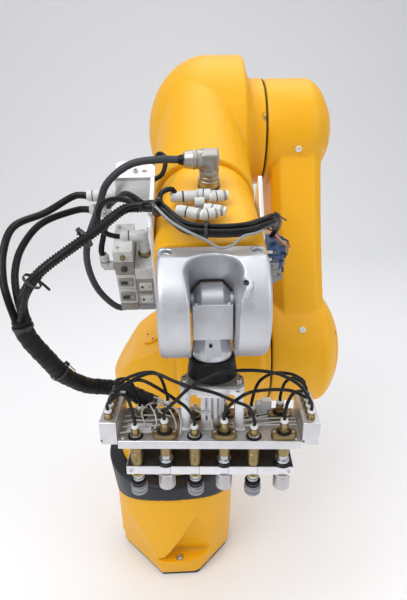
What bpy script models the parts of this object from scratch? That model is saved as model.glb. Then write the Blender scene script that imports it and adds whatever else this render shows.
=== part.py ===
"""A compact six-axis arm with a gripper plate, modelled piece by piece.

Metres, +Z up. The origin is where the first joint's axis meets the floor. +X is to the
right and +Y is away from the viewer, so the arm reaches towards -Y. Each moving body has
an empty on its joint's axis, and its pieces are modelled in that empty's own frame.
"""
import math

import bmesh
import bpy
from mathutils import Matrix, Vector

# Driving dimensions of the linkage
SHOULDER_HEIGHT = 0.341
UPPER_ARM_LENGTH = 0.290
FOREARM_LENGTH = 0.310
ARM_OFFSET = 0.049
UPPER_ARM_LEAN = math.radians(17.0)
FOREARM_DROP = math.radians(25.0)

# Fits that every piece shares
GAP = 0.0003
OVERRUN = 0.020
EDGE = 0.0015
BROAD_EDGE = 0.003
MERGE_DISTANCE = 0.000001
ROUND_SIDES = 40
SMALL_SIDES = 12
PORT_SIDES = 8
SHARP_ANGLE = math.radians(35.0)

# Base
FOOT_RADIUS = 0.081
FOOT_THICKNESS = 0.006
RIM_RADIUS = 0.084
RIM_HEIGHT = 0.024
PEDESTAL_RADIUS = 0.0865
PEDESTAL_FLARE = 0.002
PEDESTAL_CROWN = 0.156
PEDESTAL_SIDE = 0.122
FACET_DEPTH = 0.012
FACET_BOTTOM = 0.032
FACET_TILT = math.radians(7.0)
POCKET_BOTTOM = 0.020
POCKET_TOP = 0.064
POCKET_WIDTH = 0.034
POCKET_DEPTH = 0.016
COLLAR_TOP = 0.182
COLLAR_RADIUS = 0.095
COLLAR_CHAMFER = 0.004
COLLAR_SKIRT = 0.016
PANEL_WIDTH = 0.086
PANEL_BOTTOM = 0.024
PANEL_TOP = 0.118
PANEL_REACH = 0.030
PANEL_INSET = 0.006
PANEL_THICKNESS = 0.003
SOCKET_RADIUS = 0.015
SOCKET_LENGTH = 0.012
SOCKET_SPREAD = 0.042

# Shoulder: an upright turret with a sloping roof on its left, and the cross drum
TURRET_RADIUS = 0.0765
ROOF_TOP = 0.0460
ROOF_TOP_X = 0.012
ROOF_KNEE = 0.0134
ROOF_KNEE_LEFT = 0.045
ROOF_EAVE = -0.0260
SHOULDER_DRUM_RADIUS = 0.082
SHOULDER_LEFT = -0.012
SHOULDER_BEVEL = 0.004
SHOULDER_RIGHT = 0.1297
SHOULDER_RING_RADIUS = 0.076
SHOULDER_RING_WIDTH = 0.007
CAP_RADIUS = 0.019
CAP_THICKNESS = 0.003
CAP_FROM_KNEE = 0.034
CAP_FORWARD = 0.022

# Upper arm: a beam between two turned heads, each closed by a domed cover
ARM_INNER_PLAY = 0.0006
ARM_NECK_WIDTH = 0.008
ARM_BEAM_OUTER = 0.203
ARM_WAIST = 0.050
ARM_CHAMFER = 0.013
ARM_HEAD_INSET = 0.0015
ARM_LOWER_RADIUS = 0.077
ARM_LOWER_SHOULDER = 0.200
ARM_LOWER_OUTER = 0.2165
ARM_LOWER_FACE = 0.058
ARM_UPPER_RADIUS = 0.0665
ARM_UPPER_SHOULDER = 0.188
ARM_UPPER_OUTER = 0.2095
ARM_UPPER_FACE = 0.047
ARM_COVER_LIP = 0.004
ARM_COVER_THICKNESS = 0.009
ARM_COVER_FACE_SHARE = 0.62
ARM_COVER_STEP_SHARE = 0.55
ARM_COVER_MIDDLE_SHARE = 0.86
ARM_LEAVE_ANGLE = math.radians(38.0)
ARM_BEVEL_ANGLE = math.radians(60.0)

# Elbow housing
ELBOW_LEFT = 0.0178
ELBOW_RADIUS = 0.094
ELBOW_FLAT_START = 0.060
ELBOW_FLAT_END = 0.1015
ELBOW_NECK_START = 0.1106
ELBOW_RING_RADIUS = 0.067
ELBOW_TIP_SHARE = 0.05
ROOT_HALF_WIDTH = 0.0555
ROOT_CREST_DROP = 0.001
ROOT_NOSE_SHARE = 0.5226
ROOT_NOSE = FOREARM_LENGTH * ROOT_NOSE_SHARE
ROOT_NOSE_RADIUS = 0.056
ROOT_NOSE_LIP = 0.008

# Forearm tube: round behind, a block in front, with a pocket for the fork's tang
TUBE_FRONT = 0.023
TUBE_END = FOREARM_LENGTH - TUBE_FRONT
TUBE_START_RADIUS = 0.0505
TUBE_HALF_WIDTH = 0.0505
TUBE_HALF_HEIGHT = 0.045
TUBE_CORNER = 0.016
TUBE_WALL = 0.009
TUBE_ROUNDING_POWER = 0.6

# Wrist fork
FORK_HALF_WIDTH = 0.0465
FORK_HALF_HEIGHT = 0.044
FORK_CHEEK_RADIUS = 0.051
FORK_TANG_LENGTH = 0.0437
FORK_SLOT_HALF = 0.0195
FORK_SLOT_RADIUS = 0.041
FORK_SLOT_BACK = 0.042
FORK_CORNER = 0.004
ARCH_CENTRE = 0.0141
ARCH_LIP_RADIUS = 0.0230
ARCH_LIP_HEIGHT = 0.0465
ARCH_THROAT_RADIUS = 0.0200
ARCH_THROAT_HEIGHT = 0.036

# Wrist body
HUB_RADIUS = 0.0168
HUB_HALF_WIDTH = 0.0162
HUB_CROWN_HALF = 0.0095
HUB_SIDE_RADIUS = 0.0085
TRUNNION_RADIUS = 0.0075
BLOCK_HALF_WIDTH = 0.0176
BLOCK_HALF_DEPTH = 0.019
BLOCK_TOP = 0.002
BLOCK_BOTTOM = 0.031
NECK_BOTTOM = 0.0545
NECK_BAND_TOP = 0.0465
NECK_RADIUS = 0.0182
NECK_THROAT_RADIUS = 0.0150
NECK_SIDES = 8

# Tool stack under the wrist, all measured down from the fifth joint
TOOL_TURN = math.radians(-3.5)
TOOL_COLLAR_TOP_RADIUS = 0.0212
TOOL_COLLAR_RADIUS = 0.0234
TOOL_COLLAR_BOTTOM = 0.0735
TOOL_COLLAR_ROUND = 0.008
RING_PLATE_RADIUS = 0.0285
RING_PLATE_BOTTOM = 0.0768
BRIDGE_HALF_LENGTH = 0.0298
BRIDGE_FRONT = 0.0140
BRIDGE_BACK = 0.0120
BRIDGE_THICKNESS = 0.0163
POST_HALF_WIDTH = 0.0042
POST_FRONT = 0.0120
POST_BACK = 0.0030
CENTRE_POST_HALF = 0.011
PLATE_TOP = 0.1323
PLATE_THICKNESS = 0.0090
PLATE_HALF_LENGTH = 0.0868
PLATE_SHIFT = 0.0030
PLATE_FRONT = 0.0280
PLATE_BACK = 0.0275
MANIFOLD_WIDTH = 0.0160
MANIFOLD_HEIGHT = 0.0245
MANIFOLD_DROP = 0.004
MANIFOLD_PORT_RADIUS = 0.0031
MANIFOLD_PORT_HEIGHT = 0.0095
MANIFOLD_PORTS = 5
LOWER_PLATE_TOP = 0.1633
LOWER_PLATE_THICKNESS = 0.0095
LOWER_PLATE_HALF_LENGTH = 0.0811
LOWER_PLATE_INSET = 0.0015
UNIT_PITCH = 0.0283
UNIT_COLUMNS = 6
UNIT_FRONT_INSET = 0.0080
UNIT_BACK_INSET = 0.0155
UNIT_SHAFT_RADIUS = 0.0042
UNIT_PLAY = 0.0003
UNIT_FLANGE_RADIUS = 0.0072
UNIT_FLANGE_HEIGHT = 0.002
UNIT_RAISED_HEIGHT = 0.0085
UNIT_PORT_RADIUS = 0.0038
UNIT_PORT_HEIGHT = 0.0105
UNIT_BUSH_RADIUS = 0.0062
UNIT_BARREL_RADIUS = 0.0082
UNIT_BARREL_LENGTH = 0.0180
UNIT_CUP_RADIUS = 0.0084
UNIT_CUP_LENGTH = 0.0260
UNIT_CUP_NECK_SHARE = 0.6
UNIT_CUP_STEP_SHARES = (0.42, 0.58)

# Round connector on the forearm's back; places along it are measured from the fifth joint
CONNECTOR_BACK = 0.106
CONNECTOR_X = 0.002
CONNECTOR_RADIUS = 0.0095
CONNECTOR_BASE_RADIUS = 0.0105
CONNECTOR_BASE_HEIGHT = 0.006
CONNECTOR_HEIGHT = 0.037
CONNECTOR_ARM = 0.024
CONNECTOR_ARM_RADIUS = 0.0085

# Left bracket and its valves, in the forearm's frame
BRACKET_SHEET = 0.004
BRACKET_FRONT = 0.048
BRACKET_REAR = 0.122
BRACKET_TOP = 0.053
BRACKET_BOTTOM = 0.078
WING_LEFT = 0.0905
WING_REAR = 0.150
WING_APRON = 0.028
VALVE_FRONT = 0.060
VALVE_REAR = 0.105
VALVE_WIDTH = 0.0190
VALVE_RIGHT_TOP = -0.016
VALVE_LEFT_TOP = 0.007
VALVE_BOTTOM = -0.076
RISER_RADIUS = 0.003
ELBOW_FITTING_RADIUS = 0.005
ELBOW_FITTING_STEM = 0.030
ELBOW_FITTING_ARM_HEIGHT = 0.033
ELBOW_FITTING_ARM_RADIUS = 0.0058
SIDE_FITTING_REACH = 0.013
SIDE_FITTING_HEIGHT = 0.015
SIDE_FITTING_RAISE = 0.0045

# Right bracket and its terminals
GUSSET_FRONT = 0.064
GUSSET_REAR = 0.120
GUSSET_TOP = 0.030
GUSSET_TIP = 0.055
GUSSET_BOTTOM = 0.080
GUSSET_TIP_WIDTH = 0.006
GUSSET_FRONT_DROP = 0.012
TERMINAL_DEPTH = 0.028
TERMINAL_FRONT = 0.088
TERMINAL_REAR = 0.114
TERMINAL_TOP = -0.012
TERMINAL_BOTTOM = -0.066

# Fittings in front of the forearm
TEE_RADIUS = 0.0060
TEE_SPAN = 0.029
TEE_DROP = 0.030
TEE_STACK = 0.017
TEE_LEG = 0.0085
TEE_LEG_SHARE = 0.9
CLUSTER_RADIUS = 0.0056
CLUSTER_AHEAD = 0.0305
CLUSTER_ROW_PITCH = 0.0200
CLUSTER_REAR_ENDS = (-0.034, 0.0143)
CLUSTER_FRONT_ENDS = (-0.0287, 0.0109)
CLUSTER_LIFT = 0.0085
CLUSTER_RAIL_HALF = 0.003
CLUSTER_RAIL_X = 0.010

# Cords: their radii, and routes as chosen points
HOSE_RADIUS = 0.0035
SLEEVE_RADIUS = 0.0085
CABLE_RADIUS = 0.0035
LOOP_BUNDLE_RADIUS = 0.0050
FRONT_BUNDLE_RADIUS = 0.0060
CORD_STEP_DIAMETERS = 2.0
CORD_END_DIAMETERS = 0.5
CORD_SIDES_RESOLUTION = 2


def clear_scene():
    """Remove whatever the new file starts with."""
    for item in list(bpy.data.objects):
        bpy.data.objects.remove(item, do_unlink=True)


def finish(name, colour, roughness, metallic=0.0):
    """One Principled material for a piece."""
    surface = bpy.data.materials.new(name)
    surface.use_nodes = True
    shader = surface.node_tree.nodes["Principled BSDF"]
    shader.inputs["Base Color"].default_value = (*colour, 1.0)
    shader.inputs["Roughness"].default_value = roughness
    shader.inputs["Metallic"].default_value = metallic
    return surface


YELLOW = ((0.93, 0.44, 0.02), 0.48, 0.0)
CAST_ALUMINIUM = ((0.62, 0.63, 0.66), 0.42, 0.9)
BARE_ALUMINIUM = ((0.78, 0.78, 0.80), 0.35, 0.85)
STEEL = ((0.60, 0.60, 0.62), 0.25, 1.0)
BRASS = ((0.50, 0.38, 0.18), 0.35, 1.0)
DARK_GREY = ((0.09, 0.09, 0.10), 0.60, 0.0)
BLACK_RUBBER = ((0.02, 0.02, 0.02), 0.55, 0.0)
WHITE_PLASTIC = ((0.80, 0.80, 0.78), 0.45, 0.0)
GREY_CABLE = ((0.12, 0.12, 0.12), 0.60, 0.0)


def new_form():
    """An empty bmesh to build a shape in."""
    return bmesh.new()


def extrude_outline(outline, axis, start, end):
    """A prism: an outline of (u, v) pairs, swept from start to end along an axis."""
    def place(u, v, along):
        if axis == "X":
            return Vector((along, u, v))
        if axis == "Y":
            return Vector((u, along, v))
        return Vector((u, v, along))

    form = new_form()
    near = [form.verts.new(place(u, v, start)) for u, v in outline]
    far = [form.verts.new(place(u, v, end)) for u, v in outline]
    join_loops(form, [near, far])
    return form


def join_loops(form, loops):
    """Walls between loops of the same count, and a cap on each end."""
    count = len(loops[0])
    for lower, upper in zip(loops, loops[1:]):
        for i in range(count):
            j = (i + 1) % count
            form.faces.new((lower[i], lower[j], upper[j], upper[i]))
    form.faces.new(list(reversed(loops[0])))
    form.faces.new(loops[-1])
    bmesh.ops.recalc_face_normals(form, faces=form.faces)


def box(x0, x1, y0, y1, z0, z1):
    """A box between two corners."""
    return extrude_outline([(x0, y0), (x1, y0), (x1, y1), (x0, y1)], "Z", z0, z1)


def turned(profile, axis, sides=ROUND_SIDES, centre=(0.0, 0.0, 0.0)):
    """A solid of revolution: a profile of (along, radius) pairs with flat ends."""
    form = new_form()
    loops = []
    for along, radius in profile:
        loop = []
        for i in range(sides):
            angle = math.tau * i / sides
            u = radius * math.cos(angle)
            v = radius * math.sin(angle)
            if axis == "X":
                point = Vector((along, u, v))
            elif axis == "Y":
                point = Vector((v, along, u))
            else:
                point = Vector((u, v, along))
            loop.append(form.verts.new(point + Vector(centre)))
        loops.append(loop)
    join_loops(form, loops)
    return form


def cylinder(axis, start, end, radius, centre, sides=SMALL_SIDES, edge=0.0):
    """A round bar along an axis, with an optional small edge at both ends."""
    profile = [(start, radius), (end, radius)]
    if edge > 0.0:
        step = edge if end > start else -edge
        profile = [(start, radius - edge), (start + step, radius),
                   (end - step, radius), (end, radius - edge)]
    return turned(profile, axis, sides, centre)


def lofted(sections):
    """A skin over closed sections that have the same number of points."""
    form = new_form()
    loops = [[form.verts.new(Vector(point)) for point in section] for section in sections]
    join_loops(form, loops)
    return form


def rounded_section(half_width, half_height, corner, steps):
    """Points of a rectangle with round corners, anticlockwise from the right side."""
    points = []
    for quarter in range(4):
        sign_x = 1 if quarter in (0, 3) else -1
        sign_z = 1 if quarter in (0, 1) else -1
        centre_x = sign_x * (half_width - corner)
        centre_z = sign_z * (half_height - corner)
        for i in range(steps + 1):
            angle = math.pi / 2 * (quarter + i / steps)
            points.append((centre_x + corner * math.cos(angle),
                           centre_z + corner * math.sin(angle)))
    return points


def as_object(name, form):
    """A mesh object in the scene from a bmesh, which is freed."""
    bmesh.ops.remove_doubles(form, verts=form.verts, dist=MERGE_DISTANCE)
    bmesh.ops.recalc_face_normals(form, faces=form.faces)
    mesh = bpy.data.meshes.new(name)
    form.to_mesh(mesh)
    form.free()
    item = bpy.data.objects.new(name, mesh)
    bpy.context.scene.collection.objects.link(item)
    return item


def bake(item):
    """Replace an object's mesh by the result of its modifiers."""
    graph = bpy.context.evaluated_depsgraph_get()
    graph.update()
    result = bpy.data.meshes.new_from_object(item.evaluated_get(graph))
    plain = item.data
    item.modifiers.clear()
    item.data = result
    bpy.data.meshes.remove(plain)


def combine(item, form, operation):
    """Add a shape to an object, cut it away, or keep only what lies inside it."""
    other = as_object("helper", form)
    other.hide_render = True
    other.display_type = "WIRE"
    step = item.modifiers.new(operation.lower(), "BOOLEAN")
    step.operation = operation
    step.object = other
    step.solver = "EXACT"
    bake(item)
    spare = other.data
    bpy.data.objects.remove(other, do_unlink=True)
    bpy.data.meshes.remove(spare)


def soften_edges(item, width, steps, angle):
    """Bevel an object's sharp edges."""
    bevel = item.modifiers.new("soften", "BEVEL")
    bevel.width = width
    bevel.segments = steps
    bevel.limit_method = "ANGLE"
    bevel.angle_limit = angle
    bake(item)


def piece(name, frame, look, form, add=(), keep=(), cut=(), soften=0.0, steps=1,
          angle=SHARP_ANGLE, late=()):
    """A named piece of the arm, built in its body's frame."""
    item = as_object(name, form)
    for extra in add:
        combine(item, extra, "UNION")
    for bound in keep:
        combine(item, bound, "INTERSECT")
    if soften > 0.0:
        soften_edges(item, soften, steps, angle)
    for extra in late:
        combine(item, extra, "UNION")
    for hole in cut:
        combine(item, hole, "DIFFERENCE")
    item.data.materials.clear()
    item.data.materials.append(finish(name, *look))
    item.data.shade_smooth()
    item.data.set_sharp_from_angle(angle=SHARP_ANGLE)
    item.parent = frame
    return item


def joint_frame(name, parent, place, turn_x=0.0):
    """An empty on a joint's axis that carries a body's pieces."""
    frame = bpy.data.objects.new(name, None)
    bpy.context.scene.collection.objects.link(frame)
    frame.parent = parent
    frame.location = place
    frame.rotation_euler = (turn_x, 0.0, 0.0)
    return frame


def pedestal_arch(lift):
    """The solid under the arched top edge of the pedestal, raised by lift."""
    reach = COLLAR_RADIUS + OVERRUN
    steps = 16
    outline = [(-reach, -OVERRUN)]
    for i in range(steps + 1):
        x = -reach + 2 * reach * i / steps
        drop = (PEDESTAL_CROWN - PEDESTAL_SIDE) * (x / PEDESTAL_RADIUS) ** 2
        outline.append((x, PEDESTAL_CROWN - drop + lift))
    outline.append((reach, -OVERRUN))
    return extrude_outline(outline, "Y", -reach, reach + PANEL_REACH)


def build_base(frame):
    """Foot plate, pedestal, the collar round the first joint and the rear panel."""
    foot = cylinder("Z", 0.0, FOOT_THICKNESS, FOOT_RADIUS, (0, 0, 0), ROUND_SIDES, EDGE)
    piece("base_foot", frame, DARK_GREY, foot)

    bottom = FOOT_THICKNESS + GAP
    top = PEDESTAL_CROWN + OVERRUN
    drum = turned([(bottom, RIM_RADIUS - EDGE), (bottom + EDGE, RIM_RADIUS),
                   (bottom + RIM_HEIGHT, RIM_RADIUS), (FACET_BOTTOM, PEDESTAL_RADIUS),
                   (top, PEDESTAL_RADIUS + PEDESTAL_FLARE)], "Z")
    cuts = []
    facet = box(-RIM_RADIUS, RIM_RADIUS, -PEDESTAL_RADIUS - OVERRUN, 0.0, 0.0, top)
    tilt = Matrix.Rotation(-FACET_TILT, 4, "X")
    front = Vector((0.0, -PEDESTAL_RADIUS + FACET_DEPTH, FACET_BOTTOM))
    bmesh.ops.transform(facet, matrix=Matrix.Translation(front) @ tilt, verts=facet.verts)
    cuts.append(facet)
    for side in (-1, 1):
        outer = side * (PEDESTAL_RADIUS + OVERRUN)
        inner = side * (PEDESTAL_RADIUS - POCKET_DEPTH)
        cuts.append(box(min(inner, outer), max(inner, outer), -POCKET_WIDTH / 2,
                        POCKET_WIDTH / 2, POCKET_BOTTOM, POCKET_TOP))
    half = PANEL_WIDTH / 2
    rear = box(-half, half, 0.0, PEDESTAL_RADIUS + PANEL_REACH, PANEL_BOTTOM, PANEL_TOP)
    piece("base_pedestal", frame, YELLOW, drum, add=[rear], keep=[pedestal_arch(0.0)],
          cut=cuts)

    neck = turned([(PEDESTAL_SIDE - COLLAR_SKIRT, PEDESTAL_RADIUS),
                   (COLLAR_TOP - COLLAR_CHAMFER, COLLAR_RADIUS),
                   (COLLAR_TOP, COLLAR_RADIUS - COLLAR_CHAMFER)], "Z")
    piece("base_collar", frame, DARK_GREY, neck, cut=[pedestal_arch(GAP)])

    face = PEDESTAL_RADIUS + PANEL_REACH + GAP
    sheet = box(-half + PANEL_INSET, half - PANEL_INSET, face, face + PANEL_THICKNESS,
                PANEL_BOTTOM + PANEL_INSET, PANEL_TOP - PANEL_INSET)
    sockets = []
    middle = (PANEL_BOTTOM + PANEL_TOP) / 2
    for side in (-1, 1):
        sockets.append(cylinder("Y", face, face + SOCKET_LENGTH, SOCKET_RADIUS,
                                (side * SOCKET_SPREAD / 2, 0, middle), SMALL_SIDES, EDGE))
    piece("base_connector_panel", frame, DARK_GREY, sheet, add=sockets)


def build_shoulder(frame):
    """The turning shoulder: an upright turret, its sloping roof and the cross drum."""
    bottom = COLLAR_TOP + GAP - SHOULDER_HEIGHT
    turret = turned([(bottom, TURRET_RADIUS - BROAD_EDGE),
                     (bottom + BROAD_EDGE, TURRET_RADIUS), (ROOF_TOP, TURRET_RADIUS)], "Z")
    reach = TURRET_RADIUS + OVERRUN
    fall = (ROOF_KNEE - ROOF_EAVE) / (TURRET_RADIUS - ROOF_KNEE_LEFT)
    roof = extrude_outline([(-reach, bottom - OVERRUN), (reach, bottom - OVERRUN),
                            (reach, ROOF_TOP + OVERRUN), (ROOF_TOP_X, ROOF_TOP + OVERRUN),
                            (ROOF_TOP_X, ROOF_TOP), (-ROOF_KNEE_LEFT, ROOF_KNEE),
                            (-reach, ROOF_EAVE - fall * OVERRUN)], "Y", -reach, reach)
    ring = SHOULDER_RIGHT - SHOULDER_RING_WIDTH
    slope = SHOULDER_DRUM_RADIUS - SHOULDER_RING_RADIUS
    drum = turned([(-SHOULDER_LEFT, SHOULDER_DRUM_RADIUS - SHOULDER_BEVEL),
                   (-SHOULDER_LEFT + SHOULDER_BEVEL, SHOULDER_DRUM_RADIUS),
                   (ring - slope, SHOULDER_DRUM_RADIUS), (ring, SHOULDER_RING_RADIUS),
                   (SHOULDER_RIGHT, SHOULDER_RING_RADIUS)], "X")
    piece("shoulder_housing", frame, YELLOW, turret, keep=[roof], late=[drum])

    pitch = math.atan2(ROOF_TOP - ROOF_KNEE, ROOF_TOP_X + ROOF_KNEE_LEFT)
    cap = cylinder("Z", GAP, GAP + CAP_THICKNESS, CAP_RADIUS, (0, 0, 0), ROUND_SIDES, EDGE)
    slide = Matrix.Translation((CAP_FROM_KNEE, -CAP_FORWARD, 0.0))
    onto = Matrix.Translation((-ROOF_KNEE_LEFT, 0.0, ROOF_KNEE))
    bmesh.ops.transform(cap, matrix=onto @ Matrix.Rotation(-pitch, 4, "Y") @ slide,
                        verts=cap.verts)
    piece("shoulder_cap", frame, YELLOW, cap)


def link_outline(lower, upper, length, waist):
    """Side view of the upper arm: two round heads with a waist between them."""
    head_steps = 14
    blend_steps = 8
    leave = ARM_LEAVE_ANGLE
    right = []
    for i in range(head_steps + 1):
        angle = -math.pi / 2 + (math.pi / 2 + leave) * i / head_steps
        right.append((lower * math.cos(angle), lower * math.sin(angle)))
    start = Vector(right[-1])
    end = Vector((upper * math.cos(leave), length - upper * math.sin(leave)))
    pull = Vector((waist, length / 2)) * 2 - (start + end) / 2
    for i in range(1, blend_steps):
        t = i / blend_steps
        point = start * (1 - t) ** 2 + pull * 2 * t * (1 - t) + end * t * t
        right.append((point.x, point.y))
    for i in range(head_steps + 1):
        angle = -leave + (math.pi / 2 + leave) * i / head_steps
        right.append((upper * math.cos(angle), length + upper * math.sin(angle)))
    left = [(-y, z) for y, z in reversed(right[1:-1])]
    return right + left


def build_upper_arm(frame):
    """The long link: a bevelled beam, a turned head at each end and their covers."""
    inner = SHOULDER_RIGHT + ARM_INNER_PLAY
    start = inner + ARM_NECK_WIDTH
    outline = link_outline(ARM_LOWER_RADIUS - ARM_HEAD_INSET,
                           ARM_UPPER_RADIUS - ARM_HEAD_INSET, UPPER_ARM_LENGTH, ARM_WAIST)
    beam = extrude_outline(outline, "X", start, ARM_BEAM_OUTER)
    heads = []
    covers = []
    for name, height, ring, radius, shoulder, outer, face in (
            ("arm_lower_cover", 0.0, SHOULDER_RING_RADIUS, ARM_LOWER_RADIUS,
             ARM_LOWER_SHOULDER, ARM_LOWER_OUTER, ARM_LOWER_FACE),
            ("arm_upper_cover", UPPER_ARM_LENGTH, ELBOW_RING_RADIUS - EDGE,
             ARM_UPPER_RADIUS, ARM_UPPER_SHOULDER, ARM_UPPER_OUTER, ARM_UPPER_FACE)):
        heads.append(turned([(inner, ring), (start, radius), (shoulder, radius),
                             (outer, face)], "X", ROUND_SIDES, (0, 0, height)))
        seat = outer + GAP
        edge = face - ARM_COVER_LIP
        covers.append((name, turned([
            (seat, edge), (seat + ARM_COVER_THICKNESS * ARM_COVER_STEP_SHARE,
                           edge * ARM_COVER_MIDDLE_SHARE),
            (seat + ARM_COVER_THICKNESS, edge * ARM_COVER_FACE_SHARE)],
            "X", ROUND_SIDES, (0, 0, height))))
    piece("upper_arm", frame, YELLOW, beam, soften=ARM_CHAMFER, steps=2,
          angle=ARM_BEVEL_ANGLE, late=heads)
    for name, cover in covers:
        piece(name, frame, YELLOW, cover)


def build_elbow(frame):
    """The elbow casting: a domed drum across, with the root of the forearm in front."""
    dome = ELBOW_FLAT_START + ELBOW_LEFT
    profile = []
    steps = 8
    for i in range(steps + 1):
        angle = math.pi / 2 * (ELBOW_TIP_SHARE + (1.0 - ELBOW_TIP_SHARE) * i / steps)
        profile.append((ELBOW_FLAT_START - dome * math.cos(angle),
                        ELBOW_RADIUS * math.sin(angle)))
    profile += [(ELBOW_FLAT_END, ELBOW_RADIUS), (ELBOW_NECK_START, ELBOW_RING_RADIUS + EDGE),
                (ELBOW_NECK_START + EDGE, ELBOW_RING_RADIUS),
                (SHOULDER_RIGHT, ELBOW_RING_RADIUS)]
    drum = turned(profile, "X")
    sections = []
    for y, wide, high in ((0.0, ROOT_HALF_WIDTH, ELBOW_RADIUS - ROOT_CREST_DROP),
                          (-ROOT_NOSE + ROOT_NOSE_LIP, ROOT_NOSE_RADIUS, ROOT_NOSE_RADIUS),
                          (-ROOT_NOSE, ROOT_NOSE_RADIUS, ROOT_NOSE_RADIUS)):
        sections.append([(ARM_OFFSET + wide * math.cos(math.tau * i / ROUND_SIDES), y,
                          high * math.sin(math.tau * i / ROUND_SIDES))
                         for i in range(ROUND_SIDES)])
    piece("elbow_housing", frame, YELLOW, drum, add=[lofted(sections)])


def tube_section(share):
    """Half width, half height and corner of the forearm tube, from rear 0 to front 1."""
    wide = TUBE_START_RADIUS + (TUBE_HALF_WIDTH - TUBE_START_RADIUS) * share
    high = TUBE_START_RADIUS + (TUBE_HALF_HEIGHT - TUBE_START_RADIUS) * share
    full = min(wide, high) - MERGE_DISTANCE
    corner = full + (TUBE_CORNER - full) * share ** TUBE_ROUNDING_POWER
    return wide, high, corner


def tube_top(forward):
    """Height of the tube's top line at a place along the forearm."""
    start = ROOT_NOSE + GAP
    return tube_section((forward - start) / (TUBE_END - start))[1]


def build_forearm(frame):
    """The rolling part of the forearm: its tube, the fork and what is bolted to it."""
    start = -ROOT_NOSE - GAP
    end = -TUBE_END
    sections = []
    steps = 4
    for i in range(steps + 1):
        wide, high, corner = tube_section(i / steps)
        y = start + (end - start) * i / steps
        sections.append([(x, y, z) for x, z in rounded_section(wide, high, corner, 6)])
    half_x = TUBE_HALF_WIDTH - TUBE_WALL
    half_z = TUBE_HALF_HEIGHT - TUBE_WALL
    pocket = box(-half_x, half_x, end - OVERRUN, end + FORK_TANG_LENGTH, -half_z, half_z)
    piece("forearm_tube", frame, YELLOW, lofted(sections), cut=[pocket])


def build_fork(frame):
    """The cast wrist fork: a tang in the tube, two round cheeks and the arched slot."""
    back = TUBE_FRONT - GAP
    outline = [(back, -FORK_HALF_HEIGHT), (back, FORK_HALF_HEIGHT)]
    steps = 18
    for i in range(steps + 1):
        angle = math.pi / 2 + math.pi * i / steps
        outline.append((FORK_CHEEK_RADIUS * math.cos(angle),
                        FORK_CHEEK_RADIUS * math.sin(angle)))
    body = extrude_outline(outline, "X", -FORK_HALF_WIDTH, FORK_HALF_WIDTH)
    tang_x = TUBE_HALF_WIDTH - TUBE_WALL - GAP
    tang_z = TUBE_HALF_HEIGHT - TUBE_WALL - GAP
    tang = box(-tang_x, tang_x, back - FORK_CORNER, back + FORK_TANG_LENGTH, -tang_z, tang_z)
    slot_round = cylinder("X", -FORK_SLOT_HALF, FORK_SLOT_HALF, FORK_SLOT_RADIUS,
                          (0, 0, 0), ROUND_SIDES)
    reach = FORK_CHEEK_RADIUS + OVERRUN
    slot_open = box(-FORK_SLOT_HALF, FORK_SLOT_HALF, -reach, FORK_SLOT_BACK, -reach, 0.0)
    arch_y = -ARCH_CENTRE
    slot_top = box(-FORK_SLOT_HALF, FORK_SLOT_HALF, -reach, arch_y, 0.0, reach)
    arch = turned([(ARCH_THROAT_HEIGHT, ARCH_THROAT_RADIUS),
                   (ARCH_LIP_HEIGHT, ARCH_LIP_RADIUS), (reach, ARCH_LIP_RADIUS)], "Z",
                  ROUND_SIDES, (0, arch_y, 0))
    piece("wrist_fork", frame, CAST_ALUMINIUM, body, soften=FORK_CORNER, steps=2,
          late=[tang], cut=[slot_round, slot_open, slot_top, arch])


def build_connector(frame):
    """The right-angle round connector that stands on the forearm's back."""
    seat = tube_top(FOREARM_LENGTH - CONNECTOR_BACK - CONNECTOR_BASE_RADIUS) + GAP
    centre = (CONNECTOR_X, CONNECTOR_BACK, 0.0)
    stem = turned([(seat, CONNECTOR_BASE_RADIUS),
                   (seat + CONNECTOR_BASE_HEIGHT, CONNECTOR_BASE_RADIUS),
                   (seat + CONNECTOR_BASE_HEIGHT + EDGE, CONNECTOR_RADIUS),
                   (seat + CONNECTOR_HEIGHT, CONNECTOR_RADIUS)], "Z", SMALL_SIDES, centre)
    height = seat + CONNECTOR_HEIGHT - CONNECTOR_ARM_RADIUS
    arm = cylinder("X", CONNECTOR_X - CONNECTOR_ARM, CONNECTOR_X, CONNECTOR_ARM_RADIUS,
                   (0, CONNECTOR_BACK, height), SMALL_SIDES, EDGE)
    piece("user_connector", frame, STEEL, stem, add=[arm])


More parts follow.
